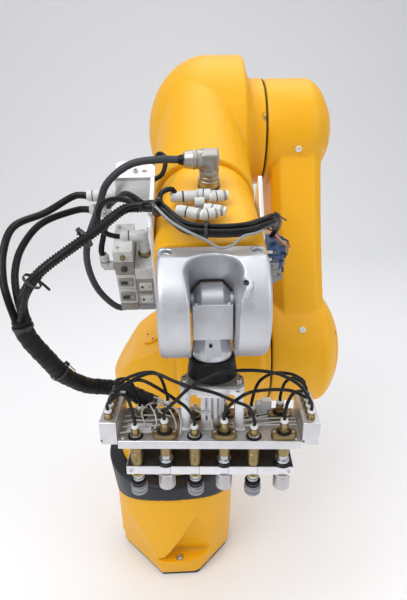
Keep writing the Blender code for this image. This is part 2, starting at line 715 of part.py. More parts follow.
def build_left_bracket(frame):
    """The sheet bracket on the forearm's left side, its valves and their fittings."""
    inner = -TUBE_HALF_WIDTH - GAP
    outer = inner - BRACKET_SHEET
    side = box(outer, inner, BRACKET_FRONT, BRACKET_REAR, -BRACKET_BOTTOM, BRACKET_TOP)
    wing = box(-WING_LEFT, inner, BRACKET_REAR - BRACKET_SHEET, WING_REAR,
               BRACKET_TOP - BRACKET_SHEET, BRACKET_TOP)
    apron = box(-WING_LEFT, inner, BRACKET_REAR - BRACKET_SHEET, BRACKET_REAR,
                BRACKET_TOP - WING_APRON, BRACKET_TOP)
    piece("left_bracket", frame, BARE_ALUMINIUM, side, add=[wing, apron])

    right_x = outer - GAP
    split_x = right_x - VALVE_WIDTH
    left_x = split_x - GAP - VALVE_WIDTH
    piece("valve_block_right", frame, WHITE_PLASTIC,
          box(split_x, right_x, VALVE_FRONT, VALVE_REAR, VALVE_BOTTOM, VALVE_RIGHT_TOP))
    piece("valve_block_left", frame, WHITE_PLASTIC,
          box(left_x, split_x - GAP, VALVE_FRONT, VALVE_REAR, VALVE_BOTTOM, VALVE_LEFT_TOP))

    centre_x = (split_x + right_x) / 2
    centre_y = (VALVE_FRONT + VALVE_REAR) / 2
    foot = VALVE_RIGHT_TOP + GAP
    stem = cylinder("Z", foot, foot + ELBOW_FITTING_STEM, ELBOW_FITTING_RADIUS,
                    (centre_x, centre_y, 0))
    arm = cylinder("X", left_x + EDGE, centre_x + ELBOW_FITTING_RADIUS,
                   ELBOW_FITTING_ARM_RADIUS, (0, centre_y, foot + ELBOW_FITTING_ARM_HEIGHT))
    piece("valve_elbow_fitting", frame, WHITE_PLASTIC, stem, add=[arm])

    port_z = (VALVE_LEFT_TOP + VALVE_BOTTOM) / 2 + SIDE_FITTING_RAISE
    reach_x = left_x - GAP - SIDE_FITTING_REACH
    port = cylinder("X", reach_x, left_x - GAP, ELBOW_FITTING_RADIUS,
                    (0, centre_y, port_z))
    upright = cylinder("Z", port_z, port_z + SIDE_FITTING_HEIGHT, ELBOW_FITTING_RADIUS,
                       (reach_x, centre_y, 0))
    piece("side_elbow_fitting", frame, WHITE_PLASTIC, port, add=[upright])


def build_right_bracket(frame):
    """The pointed sheet bracket on the right side, its flange and the terminal row."""
    inner = TUBE_HALF_WIDTH + GAP
    outer = inner + BRACKET_SHEET
    outline = [(GUSSET_FRONT, -GUSSET_BOTTOM), (GUSSET_REAR, -GUSSET_BOTTOM),
               (GUSSET_REAR, GUSSET_TOP), (GUSSET_REAR - GUSSET_TIP_WIDTH, GUSSET_TIP),
               (GUSSET_FRONT, GUSSET_TOP - GUSSET_FRONT_DROP)]
    piece("right_bracket", frame, BARE_ALUMINIUM,
          extrude_outline(outline, "X", inner, outer))
    seat = outer + GAP
    piece("terminal_row", frame, GREY_CABLE,
          box(seat, seat + TERMINAL_DEPTH, TERMINAL_FRONT, TERMINAL_REAR,
              TERMINAL_BOTTOM, TERMINAL_TOP))


def build_fittings(frame):
    """White push-in fittings: a tee on the bracket's wing and a row over the fork."""
    y = BRACKET_REAR - BRACKET_SHEET / 2
    z = BRACKET_TOP - TEE_DROP
    right = -WING_LEFT - GAP
    middle = right - TEE_SPAN / 2
    bar = cylinder("X", right - TEE_SPAN, right, TEE_RADIUS, (0, y, z + TEE_STACK / 2),
                   SMALL_SIDES, EDGE)
    lower_bar = cylinder("X", right - TEE_SPAN, middle + TEE_RADIUS, TEE_RADIUS,
                         (0, y, z - TEE_STACK / 2), SMALL_SIDES, EDGE)
    leg = cylinder("Z", z - TEE_STACK / 2 - TEE_LEG, z + TEE_STACK / 2,
                   TEE_RADIUS * TEE_LEG_SHARE, (middle, y, 0))
    piece("hose_tee", frame, WHITE_PLASTIC, bar, add=[lower_bar, leg])

    rear_y = CONNECTOR_BACK - CLUSTER_AHEAD
    seat = tube_top(FOREARM_LENGTH - rear_y - CLUSTER_RADIUS) + GAP
    middle = seat + CLUSTER_LIFT
    rows = []
    for row, ends in enumerate((CLUSTER_REAR_ENDS, CLUSTER_FRONT_ENDS)):
        y = rear_y - CLUSTER_ROW_PITCH * row
        rows.append(cylinder("X", ends[0], ends[1], CLUSTER_RADIUS, (0, y, middle),
                             SMALL_SIDES, EDGE))
    rail_x = -CLUSTER_RAIL_X
    rail = box(rail_x - CLUSTER_RAIL_HALF, rail_x + CLUSTER_RAIL_HALF,
               rear_y - CLUSTER_ROW_PITCH, rear_y, seat, middle)
    piece("fitting_row", frame, WHITE_PLASTIC, rail, add=rows)


def build_wrist(frame):
    """The small body in the fork: a faceted hub, a block and a faceted neck."""
    hub = turned([(-HUB_HALF_WIDTH, HUB_SIDE_RADIUS), (-HUB_CROWN_HALF, HUB_RADIUS),
                  (HUB_CROWN_HALF, HUB_RADIUS), (HUB_HALF_WIDTH, HUB_SIDE_RADIUS)], "X")
    trunnion_end = FORK_SLOT_HALF - GAP
    trunnions = cylinder("X", -trunnion_end, trunnion_end, TRUNNION_RADIUS, (0, 0, 0),
                         ROUND_SIDES)
    block = box(-BLOCK_HALF_WIDTH, BLOCK_HALF_WIDTH, -BLOCK_HALF_DEPTH, BLOCK_HALF_DEPTH,
                -BLOCK_BOTTOM, BLOCK_TOP)
    flat = math.cos(math.pi / NECK_SIDES)
    throat = turned([(-NECK_BAND_TOP - EDGE, NECK_RADIUS / flat),
                     (-BLOCK_BOTTOM + EDGE, NECK_THROAT_RADIUS / flat)], "Z", NECK_SIDES)
    turn = Matrix.Rotation(math.pi / NECK_SIDES, 4, "Z")
    bmesh.ops.transform(throat, matrix=turn, verts=throat.verts)
    band = cylinder("Z", -NECK_BOTTOM, -NECK_BAND_TOP, NECK_RADIUS, (0, 0, 0), ROUND_SIDES)
    piece("wrist_body", frame, CAST_ALUMINIUM, hub, add=[trunnions, block, throat, band])


def unit_places():
    """Where the gripper units stand on the plates, front row first."""
    front = -PLATE_FRONT + UNIT_FRONT_INSET
    back = PLATE_BACK - UNIT_BACK_INSET
    for row, y in (("front", front), ("back", back)):
        for column in range(UNIT_COLUMNS):
            x = (column - (UNIT_COLUMNS - 1) / 2) * UNIT_PITCH - PLATE_SHIFT
            yield f"gripper_unit_{row}_{column + 1}", x, y, column


def build_tool(frame):
    """Everything that turns with the flange: adapter, two plates and the units."""
    collar = turned([(-TOOL_COLLAR_BOTTOM, TOOL_COLLAR_RADIUS),
                     (-NECK_BOTTOM - GAP - TOOL_COLLAR_ROUND, TOOL_COLLAR_RADIUS - EDGE),
                     (-NECK_BOTTOM - GAP, TOOL_COLLAR_TOP_RADIUS)], "Z")
    piece("tool_collar", frame, BLACK_RUBBER, collar)
    ring = cylinder("Z", -RING_PLATE_BOTTOM, -TOOL_COLLAR_BOTTOM - GAP, RING_PLATE_RADIUS,
                    (0, 0, 0), ROUND_SIDES)
    piece("ring_plate", frame, STEEL, ring)

    top = -RING_PLATE_BOTTOM - GAP
    bottom = top - BRIDGE_THICKNESS
    foot = -PLATE_TOP + GAP
    bar = box(-BRIDGE_HALF_LENGTH, BRIDGE_HALF_LENGTH, -BRIDGE_FRONT, BRIDGE_BACK,
              bottom, top)
    posts = []
    for x, half in ((0.0, CENTRE_POST_HALF),
                    (-BRIDGE_HALF_LENGTH + POST_HALF_WIDTH, POST_HALF_WIDTH),
                    (BRIDGE_HALF_LENGTH - POST_HALF_WIDTH, POST_HALF_WIDTH)):
        posts.append(box(x - half, x + half, -POST_FRONT, POST_BACK, foot,
                         bottom + EDGE))
    piece("tool_bridge", frame, BARE_ALUMINIUM, bar, add=posts)

    hole = (UNIT_SHAFT_RADIUS + UNIT_PLAY) / math.cos(math.pi / PORT_SIDES)
    plate_bottom = -PLATE_TOP - PLATE_THICKNESS
    lower_bottom = -LOWER_PLATE_TOP - LOWER_PLATE_THICKNESS
    top_holes = [cylinder("Z", plate_bottom - EDGE, -PLATE_TOP + EDGE, hole, (x, y, 0))
                 for name, x, y, column in unit_places()]
    low_holes = [cylinder("Z", lower_bottom - EDGE, -LOWER_PLATE_TOP + EDGE, hole, (x, y, 0))
                 for name, x, y, column in unit_places()]
    piece("top_plate", frame, BARE_ALUMINIUM,
          box(-PLATE_HALF_LENGTH - PLATE_SHIFT, PLATE_HALF_LENGTH - PLATE_SHIFT,
              -PLATE_FRONT, PLATE_BACK, plate_bottom, -PLATE_TOP), cut=top_holes)
    piece("lower_plate", frame, BARE_ALUMINIUM,
          box(-LOWER_PLATE_HALF_LENGTH - PLATE_SHIFT, LOWER_PLATE_HALF_LENGTH - PLATE_SHIFT,
              -PLATE_FRONT + LOWER_PLATE_INSET, PLATE_BACK - LOWER_PLATE_INSET,
              lower_bottom, -LOWER_PLATE_TOP), cut=low_holes)

    for side, name in ((-1, "manifold_left"), (1, "manifold_right")):
        inner = side * (PLATE_HALF_LENGTH + GAP) - PLATE_SHIFT
        outer = inner + side * MANIFOLD_WIDTH
        low = -PLATE_TOP - MANIFOLD_DROP
        high = low + MANIFOLD_HEIGHT
        body = box(min(inner, outer), max(inner, outer), -PLATE_FRONT, PLATE_BACK, low, high)
        ports = []
        span = PLATE_FRONT + PLATE_BACK - MANIFOLD_WIDTH
        for i in range(MANIFOLD_PORTS):
            y = -PLATE_FRONT + MANIFOLD_WIDTH / 2 + span * i / (MANIFOLD_PORTS - 1)
            ports.append(cylinder("Z", high - EDGE, high + MANIFOLD_PORT_HEIGHT,
                                  MANIFOLD_PORT_RADIUS, ((inner + outer) / 2, y, 0),
                                  PORT_SIDES))
        piece(name, frame, BARE_ALUMINIUM, body, add=ports)

    for name, x, y, column in unit_places():
        build_unit(name, frame, x, y, column % 2 == 0, plate_bottom, lower_bottom)


def build_unit(name, frame, x, y, tapered, plate_bottom, lower_bottom):
    """One gripper unit: a port on top, a bush between the plates, a foot below."""
    seat = -PLATE_TOP + GAP
    shaft = UNIT_SHAFT_RADIUS
    rim = seat + (UNIT_FLANGE_HEIGHT if tapered else UNIT_RAISED_HEIGHT)
    profile = [(rim + UNIT_PORT_HEIGHT, UNIT_PORT_RADIUS), (rim, UNIT_PORT_RADIUS),
               (rim, UNIT_FLANGE_RADIUS),
               (seat, UNIT_FLANGE_RADIUS), (seat, shaft),
               (plate_bottom - GAP, shaft), (plate_bottom - GAP, UNIT_BUSH_RADIUS),
               (-LOWER_PLATE_TOP + GAP, UNIT_BUSH_RADIUS), (-LOWER_PLATE_TOP + GAP, shaft),
               (lower_bottom - GAP, shaft)]
    if tapered:
        foot = lower_bottom - GAP - UNIT_CUP_LENGTH
        neck = UNIT_CUP_RADIUS * UNIT_CUP_NECK_SHARE
        steps = [lower_bottom - GAP - UNIT_CUP_LENGTH * share
                 for share in UNIT_CUP_STEP_SHARES]
        profile += [(lower_bottom - GAP, neck), (steps[0], neck),
                    (steps[1], UNIT_CUP_RADIUS),
                    (foot + EDGE, UNIT_CUP_RADIUS), (foot, UNIT_CUP_RADIUS - EDGE)]
    else:
        foot = lower_bottom - GAP - UNIT_BARREL_LENGTH
        profile += [(lower_bottom - GAP, UNIT_BARREL_RADIUS), (foot, UNIT_BARREL_RADIUS)]
    form = turned(profile, "Z", PORT_SIDES, (x, y, 0.0))
    piece(name, frame, STEEL, form)


def smooth_route(points, step, end_length):
    """Points at an even step along a smooth curve through the chosen ones."""
    knots = [Vector(p) for p in points]
    knots = [knots[0] * 2 - knots[1]] + knots + [knots[-1] * 2 - knots[-2]]
    dense = []
    for a, b, c, d in zip(knots, knots[1:], knots[2:], knots[3:]):
        for i in range(24):
            t = i / 24
            dense.append(((b * 2) + (c - a) * t + (a * 2 - b * 5 + c * 4 - d) * t ** 2
                          + (b * 3 - a - c * 3 + d) * t ** 3) / 2)
    dense.append(knots[-2])
    lengths = [0.0]
    for p, q in zip(dense, dense[1:]):
        lengths.append(lengths[-1] + (q - p).length)
    count = max(2, round(lengths[-1] / step))
    route = []
    at = 0
    for i in range(count + 1):
        target = lengths[-1] * i / count
        while at < len(dense) - 2 and lengths[at + 1] < target:
            at += 1
        part = (target - lengths[at]) / (lengths[at + 1] - lengths[at])
        route.append(dense[at].lerp(dense[at + 1], part))
    start = route[0] + (knots[2] - knots[1]).normalized() * end_length
    end = route[-1] + (knots[-3] - knots[-2]).normalized() * end_length
    return [route[0], start] + route[1:-1] + [end, route[-1]]


def cord(name, frame, look, points, radius):
    """A plain tube along a smooth route, with filled ends."""
    curve = bpy.data.curves.new(name, "CURVE")
    curve.dimensions = "3D"
    curve.bevel_depth = radius
    curve.bevel_resolution = CORD_SIDES_RESOLUTION
    curve.use_fill_caps = True
    diameter = radius * 2
    route = smooth_route(points, diameter * CORD_STEP_DIAMETERS,
                         diameter * CORD_END_DIAMETERS)
    spline = curve.splines.new("POLY")
    spline.points.add(len(route) - 1)
    for knot, place in zip(spline.points, route):
        knot.co = (*place, 1.0)
    spline.use_smooth = True
    item = bpy.data.objects.new(name, curve)
    bpy.context.scene.collection.objects.link(item)
    curve.materials.append(finish(name, *look))
    item.parent = frame
    return item


# Cord routes: the first four from the wrist's frame, the others from the forearm's front
SLEEVE_ROUTE = [(-0.1710, 0.0012, -0.0153), (-0.1697, 0.0015, -0.0270), (-0.1645, 0.0025, -0.0395),
                (-0.1555, 0.0065, -0.0570), (-0.1450, 0.0165, -0.0810), (-0.1290, 0.0325, -0.1030),
                (-0.1150, 0.0435, -0.1125), (-0.1000, 0.0470, -0.1170), (-0.0870, 0.0440, -0.1200),
                (-0.0730, 0.0360, -0.1225), (-0.0580, 0.0268, -0.1230)]
UPPER_LOOP_ROUTE = [(-0.1204, 0.0955, 0.0792), (-0.1340, 0.0952, 0.0792), (-0.1598, 0.0782, 0.0659),
                    (-0.1803, 0.0462, 0.0604), (-0.1857, 0.0242, 0.0417), (-0.1844, 0.0102, 0.0200),
                    (-0.1797, 0.0017, 0.0041), (-0.1752, -0.0010, -0.0142)]
LOWER_LOOP_ROUTE = [(-0.1204, 0.1026, 0.0638), (-0.1340, 0.1022, 0.0638), (-0.1659, 0.0842, 0.0548),
                    (-0.1796, 0.0562, 0.0377), (-0.1815, 0.0332, 0.0199), (-0.1761, 0.0142, 0.0030),
                    (-0.1718, 0.0076, -0.0135)]
LOOP_BUNDLE_ROUTE = [(-0.0609, 0.0273, 0.0787), (-0.0760, 0.0290, 0.0767), (-0.0986, 0.0152, 0.0619),
                     (-0.1231, -0.0018, 0.0474), (-0.1439, -0.0118, 0.0334), (-0.1580, -0.0118, 0.0169),
                     (-0.1655, -0.0058, 0.0020), (-0.1665, -0.0013, -0.0138)]
FRONT_BUNDLE_ROUTE = [(-0.0590, 0.0575, 0.0600), (-0.0440, 0.0520, 0.0620),
                      (-0.0300, 0.0340, 0.0610), (-0.0180, 0.0250, 0.0590),
                      (0.0070, 0.0210, 0.0590), (0.0300, 0.0230, 0.0590),
                      (0.0480, 0.0370, 0.0540), (0.0640, 0.0620, 0.0390),
                      (0.0710, 0.0870, 0.0150), (0.0715, 0.1002, -0.0020),
                      (0.0715, 0.1005, -0.0115)]
RISER_ROUTE = [(-0.1082, 0.0825, -0.0140), (-0.1082, 0.0832, -0.0080), (-0.1068, 0.1010, -0.0035),
               (-0.1053, 0.1195, -0.0005), (-0.1053, 0.1200, 0.0056)]
GREY_CABLE_ROUTE = [(-0.0226, 0.0970, 0.0765), (-0.0450, 0.0972, 0.0772),
                    (-0.0720, 0.1000, 0.0740), (-0.0950, 0.0990, 0.0580),
                    (-0.1050, 0.0960, 0.0350), (-0.1190, 0.0800, 0.0060),
                    (-0.1230, 0.0740, -0.0220), (-0.1170, 0.0720, -0.0560),
                    (-0.1010, 0.0750, -0.0860), (-0.0880, 0.0810, -0.0910),
                    (-0.0856, 0.0820, -0.0845), (-0.0855, 0.0820, -0.0765)]


def build_cords(wrist, front):
    """The hoses that loop to the tool, and the cables that stay on the forearm."""
    cord("loop_sleeve", wrist, BLACK_RUBBER, SLEEVE_ROUTE, SLEEVE_RADIUS)
    cord("loop_hose_upper", wrist, BLACK_RUBBER, UPPER_LOOP_ROUTE, HOSE_RADIUS)
    cord("loop_hose_lower", wrist, BLACK_RUBBER, LOWER_LOOP_ROUTE, HOSE_RADIUS)
    cord("loop_bundle", wrist, BLACK_RUBBER, LOOP_BUNDLE_ROUTE, LOOP_BUNDLE_RADIUS)
    cord("front_bundle", front, BLACK_RUBBER, FRONT_BUNDLE_ROUTE, FRONT_BUNDLE_RADIUS)
    cord("riser_tube", front, BLACK_RUBBER, RISER_ROUTE, RISER_RADIUS)
    cord("grey_cable", front, GREY_CABLE, GREY_CABLE_ROUTE, CABLE_RADIUS)


def build_all():
    """Frames down the chain, then the pieces of every body."""
    clear_scene()
    base = joint_frame("base_frame", None, (0, 0, 0))
    shoulder = joint_frame("shoulder_frame", base, (0, 0, SHOULDER_HEIGHT))
    upper = joint_frame("upper_arm_frame", shoulder, (0, 0, 0), UPPER_ARM_LEAN * -1)
    elbow = joint_frame("elbow_frame", upper, (0, 0, UPPER_ARM_LENGTH),
                        UPPER_ARM_LEAN + FOREARM_DROP)
    forearm = joint_frame("forearm_frame", elbow, (ARM_OFFSET, 0, 0))
    front = joint_frame("forearm_front_frame", forearm, (0, -FOREARM_LENGTH, 0))
    wrist = joint_frame("wrist_frame", forearm, (0, -FOREARM_LENGTH, 0), -FOREARM_DROP)
    tool = joint_frame("tool_frame", wrist, (0, 0, 0))
    tool.rotation_euler.z = TOOL_TURN
    build_base(base)
    build_shoulder(shoulder)
    build_upper_arm(upper)
    build_elbow(elbow)
    build_forearm(forearm)
    build_fork(front)
    build_connector(front)
    build_left_bracket(front)
    build_right_bracket(front)
    build_fittings(front)
    build_wrist(wrist)
    build_tool(tool)
    build_cords(wrist, front)
    bpy.context.view_layer.update()


build_all()
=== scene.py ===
"""Looks of a compact six-axis arm with a twelve-nozzle gripper plate.

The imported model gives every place. Each operator dresses one group of the arm's pieces,
in metres and in the frame of the body that carries them. Cord routes are in millimetres.
"""
import random
from math import atan2, copysign, cos, pi, radians, sin, tau

import bmesh
import bpy
from bpy.props import FloatProperty, FloatVectorProperty, IntProperty, PointerProperty
from mathutils import Matrix, Vector


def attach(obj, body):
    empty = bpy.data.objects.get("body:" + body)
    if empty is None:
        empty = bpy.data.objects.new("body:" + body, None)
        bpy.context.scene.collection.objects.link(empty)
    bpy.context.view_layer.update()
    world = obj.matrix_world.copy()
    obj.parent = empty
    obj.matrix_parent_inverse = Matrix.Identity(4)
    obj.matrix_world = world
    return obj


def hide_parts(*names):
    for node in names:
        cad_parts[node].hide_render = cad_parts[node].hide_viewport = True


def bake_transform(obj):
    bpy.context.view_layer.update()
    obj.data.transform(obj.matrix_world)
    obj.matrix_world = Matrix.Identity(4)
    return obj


bl_info = {"name": "Six-axis arm dressing", "version": (1, 0, 0), "blender": (4, 5, 0),
    "location": "3D View > Sidebar > Arm",
    "description": "Builds the castings, hoses, fittings and gripper of a compact arm",
    "category": "Object",}

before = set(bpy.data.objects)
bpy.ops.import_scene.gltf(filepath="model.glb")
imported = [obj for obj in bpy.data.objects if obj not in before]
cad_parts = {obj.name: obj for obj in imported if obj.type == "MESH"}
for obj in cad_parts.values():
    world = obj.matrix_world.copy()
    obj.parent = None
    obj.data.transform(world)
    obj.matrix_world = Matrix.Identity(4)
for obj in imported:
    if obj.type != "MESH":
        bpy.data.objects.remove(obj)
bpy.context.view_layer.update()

# The linkage at rest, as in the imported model
LEAN = radians(17.0)
DROP = radians(25.0)
TOOL_TURN = radians(-3.5)
SHOULDER = Vector((0.0, 0.0, .341))
UPPER_LENGTH = .29
FOREARM_LENGTH = .31
ARM_OFFSET = .049
ELBOW = SHOULDER + Vector((0.0, sin(LEAN), cos(LEAN))) * UPPER_LENGTH
WRIST = ELBOW + Vector((ARM_OFFSET, -cos(DROP) * FOREARM_LENGTH, -sin(DROP) * FOREARM_LENGTH))


def spin(angle, axis):
    """A turn about an axis."""
    return Matrix.Rotation(angle, 4, axis)


def around(radius, angle):
    """A point on a circle about the origin."""
    return radius * cos(angle), radius * sin(angle)


def placed(place, tilt=0.0, turn=0.0):
    """A frame at a place, turned about Z and then tilted about X."""
    return (Matrix.Translation(place) @ spin(turn, "Z") @ spin(tilt, "X"))


# Every working frame, with the body that carries it
FRAMES = {"base": (Matrix.Identity(4), "base"), "shoulder": (placed(SHOULDER), "shoulder"),
    "upper_arm": (placed(SHOULDER, -LEAN), "upper_arm"), "elbow": (placed(ELBOW, DROP), "elbow"),
    "forearm": (placed(ELBOW + Vector((ARM_OFFSET, 0.0, 0.0)), DROP), "forearm"),
    "front": (placed(WRIST, DROP), "forearm"), "wrist": (placed(WRIST), "wrist"),
    "tool": (placed(WRIST, 0.0, TOOL_TURN), "tool"),}
# Turns of a shape made along Z: to lie along X, and to face the front
ACROSS = spin(pi / 2, "Y")
TO_FRONT = spin(pi / 2, "X")


# ---- Settings -------------------------------------------------------------------------

class PaintSettings(bpy.types.PropertyGroup):
    """The paint on the castings."""
    colour: FloatVectorProperty(name="Paint colour", description="Colour of the painted castings",
        subtype="COLOR", default=(.86, .43, .006), min=0.0, max=1.0)
    gloss_roughness: FloatProperty(name="Paint roughness", description="Roughness of sound paint",
        default=.36, min=.05, max=1.0, subtype="FACTOR")
    grain: FloatProperty(name="Paint grain", description="Depth of the sprayed texture",
        default=.00035, min=0.0, max=.002, unit="LENGTH", precision=5)
    wear: FloatProperty(name="Paint wear", description="How much of the edges is chipped",
        default=.5, min=0.0, max=1.0, subtype="FACTOR")


class MetalSettings(bpy.types.PropertyGroup):
    """The bare metals."""
    cast: FloatVectorProperty(name="Cast aluminium", description="Colour of the cast wrist",
        subtype="COLOR", default=(.6, .61, .64), min=0.0, max=1.0)
    plate: FloatVectorProperty(name="Anodised plate",
        description="Colour of the plates and brackets", subtype="COLOR", default=(.66, .66, .68),
        min=0.0, max=1.0)
    brass: FloatVectorProperty(name="Brass", description="Colour of the nozzle holders",
        subtype="COLOR", default=(.27, .205, .095), min=0.0, max=1.0)
    voxel: FloatProperty(name="Casting detail", description="Voxel size of the large castings",
        default=.0021, min=.001, max=.006, unit="LENGTH", precision=4)


class HoseSettings(bpy.types.PropertyGroup):
    """Hoses, tubes and wires."""
    air_tube: FloatProperty(name="Air tube", description="Diameter of the tubes over the gripper",
        default=.0032, min=.001, max=.006, unit="LENGTH", precision=4)
    wire: FloatProperty(name="Signal wire", description="Diameter of the thin signal wires",
        default=.0016, min=.0005, max=.004, unit="LENGTH", precision=4)
    strands: IntProperty(name="Bundle strands", description="Hoses in the bundle across the fork",
        default=4, min=2, max=6)


class StageSettings(bpy.types.PropertyGroup):
    """Floor, lamps and camera."""
    floor: FloatVectorProperty(name="Floor colour",
        description="Colour of the floor and backdrop", subtype="COLOR", default=(.9, .9, .91),
        min=0.0, max=1.0)
    key_power: FloatProperty(name="Key lamp", description="Power of the large lamp in watts",
        default=25.0, min=0.0, max=400.0, unit="POWER")
    fill_power: FloatProperty(name="Fill lamp", description="Power of each fill lamp in watts",
        default=8.0, min=0.0, max=400.0, unit="POWER")
    sky: FloatProperty(name="Room light", description="Strength of the even light of the room",
        default=.4, min=0.0, max=2.0)


class ArmSettings(bpy.types.PropertyGroup):
    """All sizes and colours that a user may want to change."""
    paint: PointerProperty(type=PaintSettings)
    metal: PointerProperty(type=MetalSettings)
    hose: PointerProperty(type=HoseSettings)
    stage: PointerProperty(type=StageSettings)


def settings():
    """The scene's settings."""
    return bpy.context.scene.arm_settings


# ---- Procedural finishes --------------------------------------------------------------

class Finish:
    """A procedural material, built up step by step."""

    def __init__(self, name, colour, roughness, metallic=0.0):
        self.material = bpy.data.materials.new(name)
        self.material.use_nodes = True
        self.nodes = self.material.node_tree.nodes
        self.links = self.material.node_tree.links
        self.shader = self.nodes["Principled BSDF"]
        self.shader.inputs["Metallic"].default_value = metallic
        self.shader.inputs["Base Color"].default_value = (*colour, 1.0)
        self.shader.inputs["Roughness"].default_value = roughness
        self.place = self.nodes.new("ShaderNodeTexCoord").outputs["Object"]

    def node(self, kind, **values):
        """A new node with its inputs set by name, value or link."""
        made = self.nodes.new(kind)
        for key, value in values.items():
            socket = made.inputs[key.replace("_", " ")]
            if isinstance(value, bpy.types.NodeSocket):
                self.links.new(value, socket)
            else:
                socket.default_value = value
        return made

    def stretched(self, scale):
        """The object's coordinates, scaled by axis."""
        return self.node("ShaderNodeMapping", Vector=self.place, Scale=scale).outputs[0]

    def noise(self, scale, detail=3.0, roughness=.55, place=None):
        """Soft noise, from 0 to 1."""
        return self.node("ShaderNodeTexNoise", Vector=place or self.place, Scale=scale,
            Detail=detail, Roughness=roughness).outputs[0]

    def cells(self, scale):
        """Distance to the nearest of many scattered points."""
        return self.node("ShaderNodeTexVoronoi", Vector=self.place, Scale=scale).outputs[0]

    def span(self, value, low, high, out_low=0.0, out_high=1.0):
        """A value between two limits, stretched to an output range."""
        made = self.node("ShaderNodeMapRange", Value=value)
        for i, number in enumerate((low, high, out_low, out_high)):
            made.inputs[i + 1].default_value = number
        return made.outputs[0]

    def both(self, *masks):
        """Mask of where two masks are white."""
        made = self.nodes.new("ShaderNodeMath")
        made.operation = "MULTIPLY"
        made.use_clamp = True
        for socket, mask in zip(made.inputs, masks):
            self.links.new(mask, socket)
        return made.outputs[0]

    def bends(self, low, high):
        """Mask of the convex edges, or of the creases where low is above high."""
        point = self.nodes.new("ShaderNodeNewGeometry").outputs["Pointiness"]
        return self.span(point, low, high)

    def near(self, place, radius):
        """Mask of a soft round patch about a place in metres."""
        away = self.node("ShaderNodeVectorMath", Vector=self.place)
        away.operation = "DISTANCE"
        away.inputs[1].default_value = place
        return self.span(away.outputs["Value"], radius, radius * .4)

    def blend(self, target, kind, slots, mask, value):
        """Blend an input of the shader towards a value where the mask is white."""
        made = self.nodes.new("ShaderNodeMix")
        made.data_type = kind
        before, after, result = slots
        socket = self.shader.inputs[target]
        self.links.new(mask, made.inputs[0])
        if socket.is_linked:
            self.links.new(socket.links[0].from_socket, made.inputs[before])
        else:
            made.inputs[before].default_value = socket.default_value
        made.inputs[after].default_value = value
        self.links.new(made.outputs[result], socket)

    def tint(self, mask, colour):
        """Blend the colour so far towards another one where the mask is white."""
        self.blend("Base Color", "RGBA", (6, 7, 2), mask, (*colour, 1.0))

    def sheen(self, mask, roughness):
        """Blend the roughness so far towards another one where the mask is white."""
        self.blend("Roughness", "FLOAT", (2, 3, 0), mask, roughness)

    def bump(self, height, depth, strength=1.0):
        """Raise the surface by a height mask."""
        made = self.node("ShaderNodeBump", Height=height, Strength=strength, Distance=depth)
        socket = self.shader.inputs["Normal"]
        if socket.is_linked:
            self.links.new(socket.links[0].from_socket, made.inputs["Normal"])
        self.links.new(made.outputs[0], socket)


FINISHES = {}


def keep(finish):
    """Remember a finish by its material's name."""
    FINISHES[finish.material.name] = finish.material
    return finish.material


def paint_finish(name, colour, roughness, grain, wear, marks=()):
    """Sprayed paint on a casting: grain, faint waves, painted shade in the creases, chips on
    edges.
    """
    finish = Finish(name, colour, roughness)
    finish.shader.inputs["Specular IOR Level"].default_value = .35
    broad = finish.noise(7.0, 2.0)
    finish.tint(finish.span(broad, .35, .75, 0.0, .3), tuple(c * .8 for c in colour))
    fine = finish.noise(160.0, 4.0, .7)
    finish.tint(finish.span(fine, .55, .85, 0.0, .22), tuple(min(1.0, c * 1.12 + .01)
        for c in colour))
    # Painted shade: the paint darkens to a deep yellow-brown in the creases
    crease_shade = finish.both(finish.bends(.49, .44), finish.span(broad, .3, .7, .3, .8))
    finish.tint(crease_shade, (.2, .1, .02))
    specks = finish.span(finish.noise(420.0, 2.0), .735, .76)
    spread = finish.span(finish.noise(18.0, 3.0), .55, .7)
    finish.tint(finish.both(specks, spread), (.1, .07, .04))
    chips = finish.both(finish.bends(.535, .58), finish.span(finish.noise(70.0, 4.0, .7), .6 - .1
        * wear, .66))
    finish.tint(chips, (.17, .15, .13))
    for place, radius in marks:
        ragged = finish.both(finish.near(place, radius), finish.span(
            finish.noise(150.0, 5.0, .75), .47, .53))
        finish.tint(ragged, (.24, .13, .05))
    finish.sheen(finish.span(finish.noise(30.0, 3.0), .35, .7), roughness + .16)
    finish.bump(finish.noise(26.0, 2.0), .0012, .35)
    finish.bump(finish.noise(310.0, 3.0, .6), grain, .8)
    return keep(finish)


def metal_finish(name, colour, roughness, brushed=None, blotch=.25, grain=.00006, metallic=1.0,
        stain=None):
    """Bare metal: cloudy tone, fine grain or brushing, dull smears, worn edges."""
    finish = Finish(name, colour, roughness, metallic)
    clouds = finish.noise(38.0, 5.0, .6)
    finish.tint(finish.span(clouds, .35, .75, 0.0, blotch), tuple(c * .66 for c in colour))
    if stain:
        patches = finish.both(finish.span(finish.noise(90.0, 5.0, .7), .5, .62),
            finish.span(finish.noise(24.0, 2.0), .45, .6))
        finish.tint(patches, stain)
    finish.tint(finish.bends(.53, .6), tuple(min(1.0, c * 1.35) for c in colour))
    finish.sheen(finish.span(finish.noise(60.0, 4.0), .4, .7), min(.9, roughness + .2))
    if brushed:
        lines = finish.noise(1.0, 4.0, .7, finish.stretched(brushed))
        finish.bump(lines, grain, .6)
        finish.sheen(finish.span(lines, .45, .7, 0.0, .6), min(.9, roughness + .15))
    else:
        finish.bump(finish.noise(1300.0, 2.0), grain, .7)
    return keep(finish)


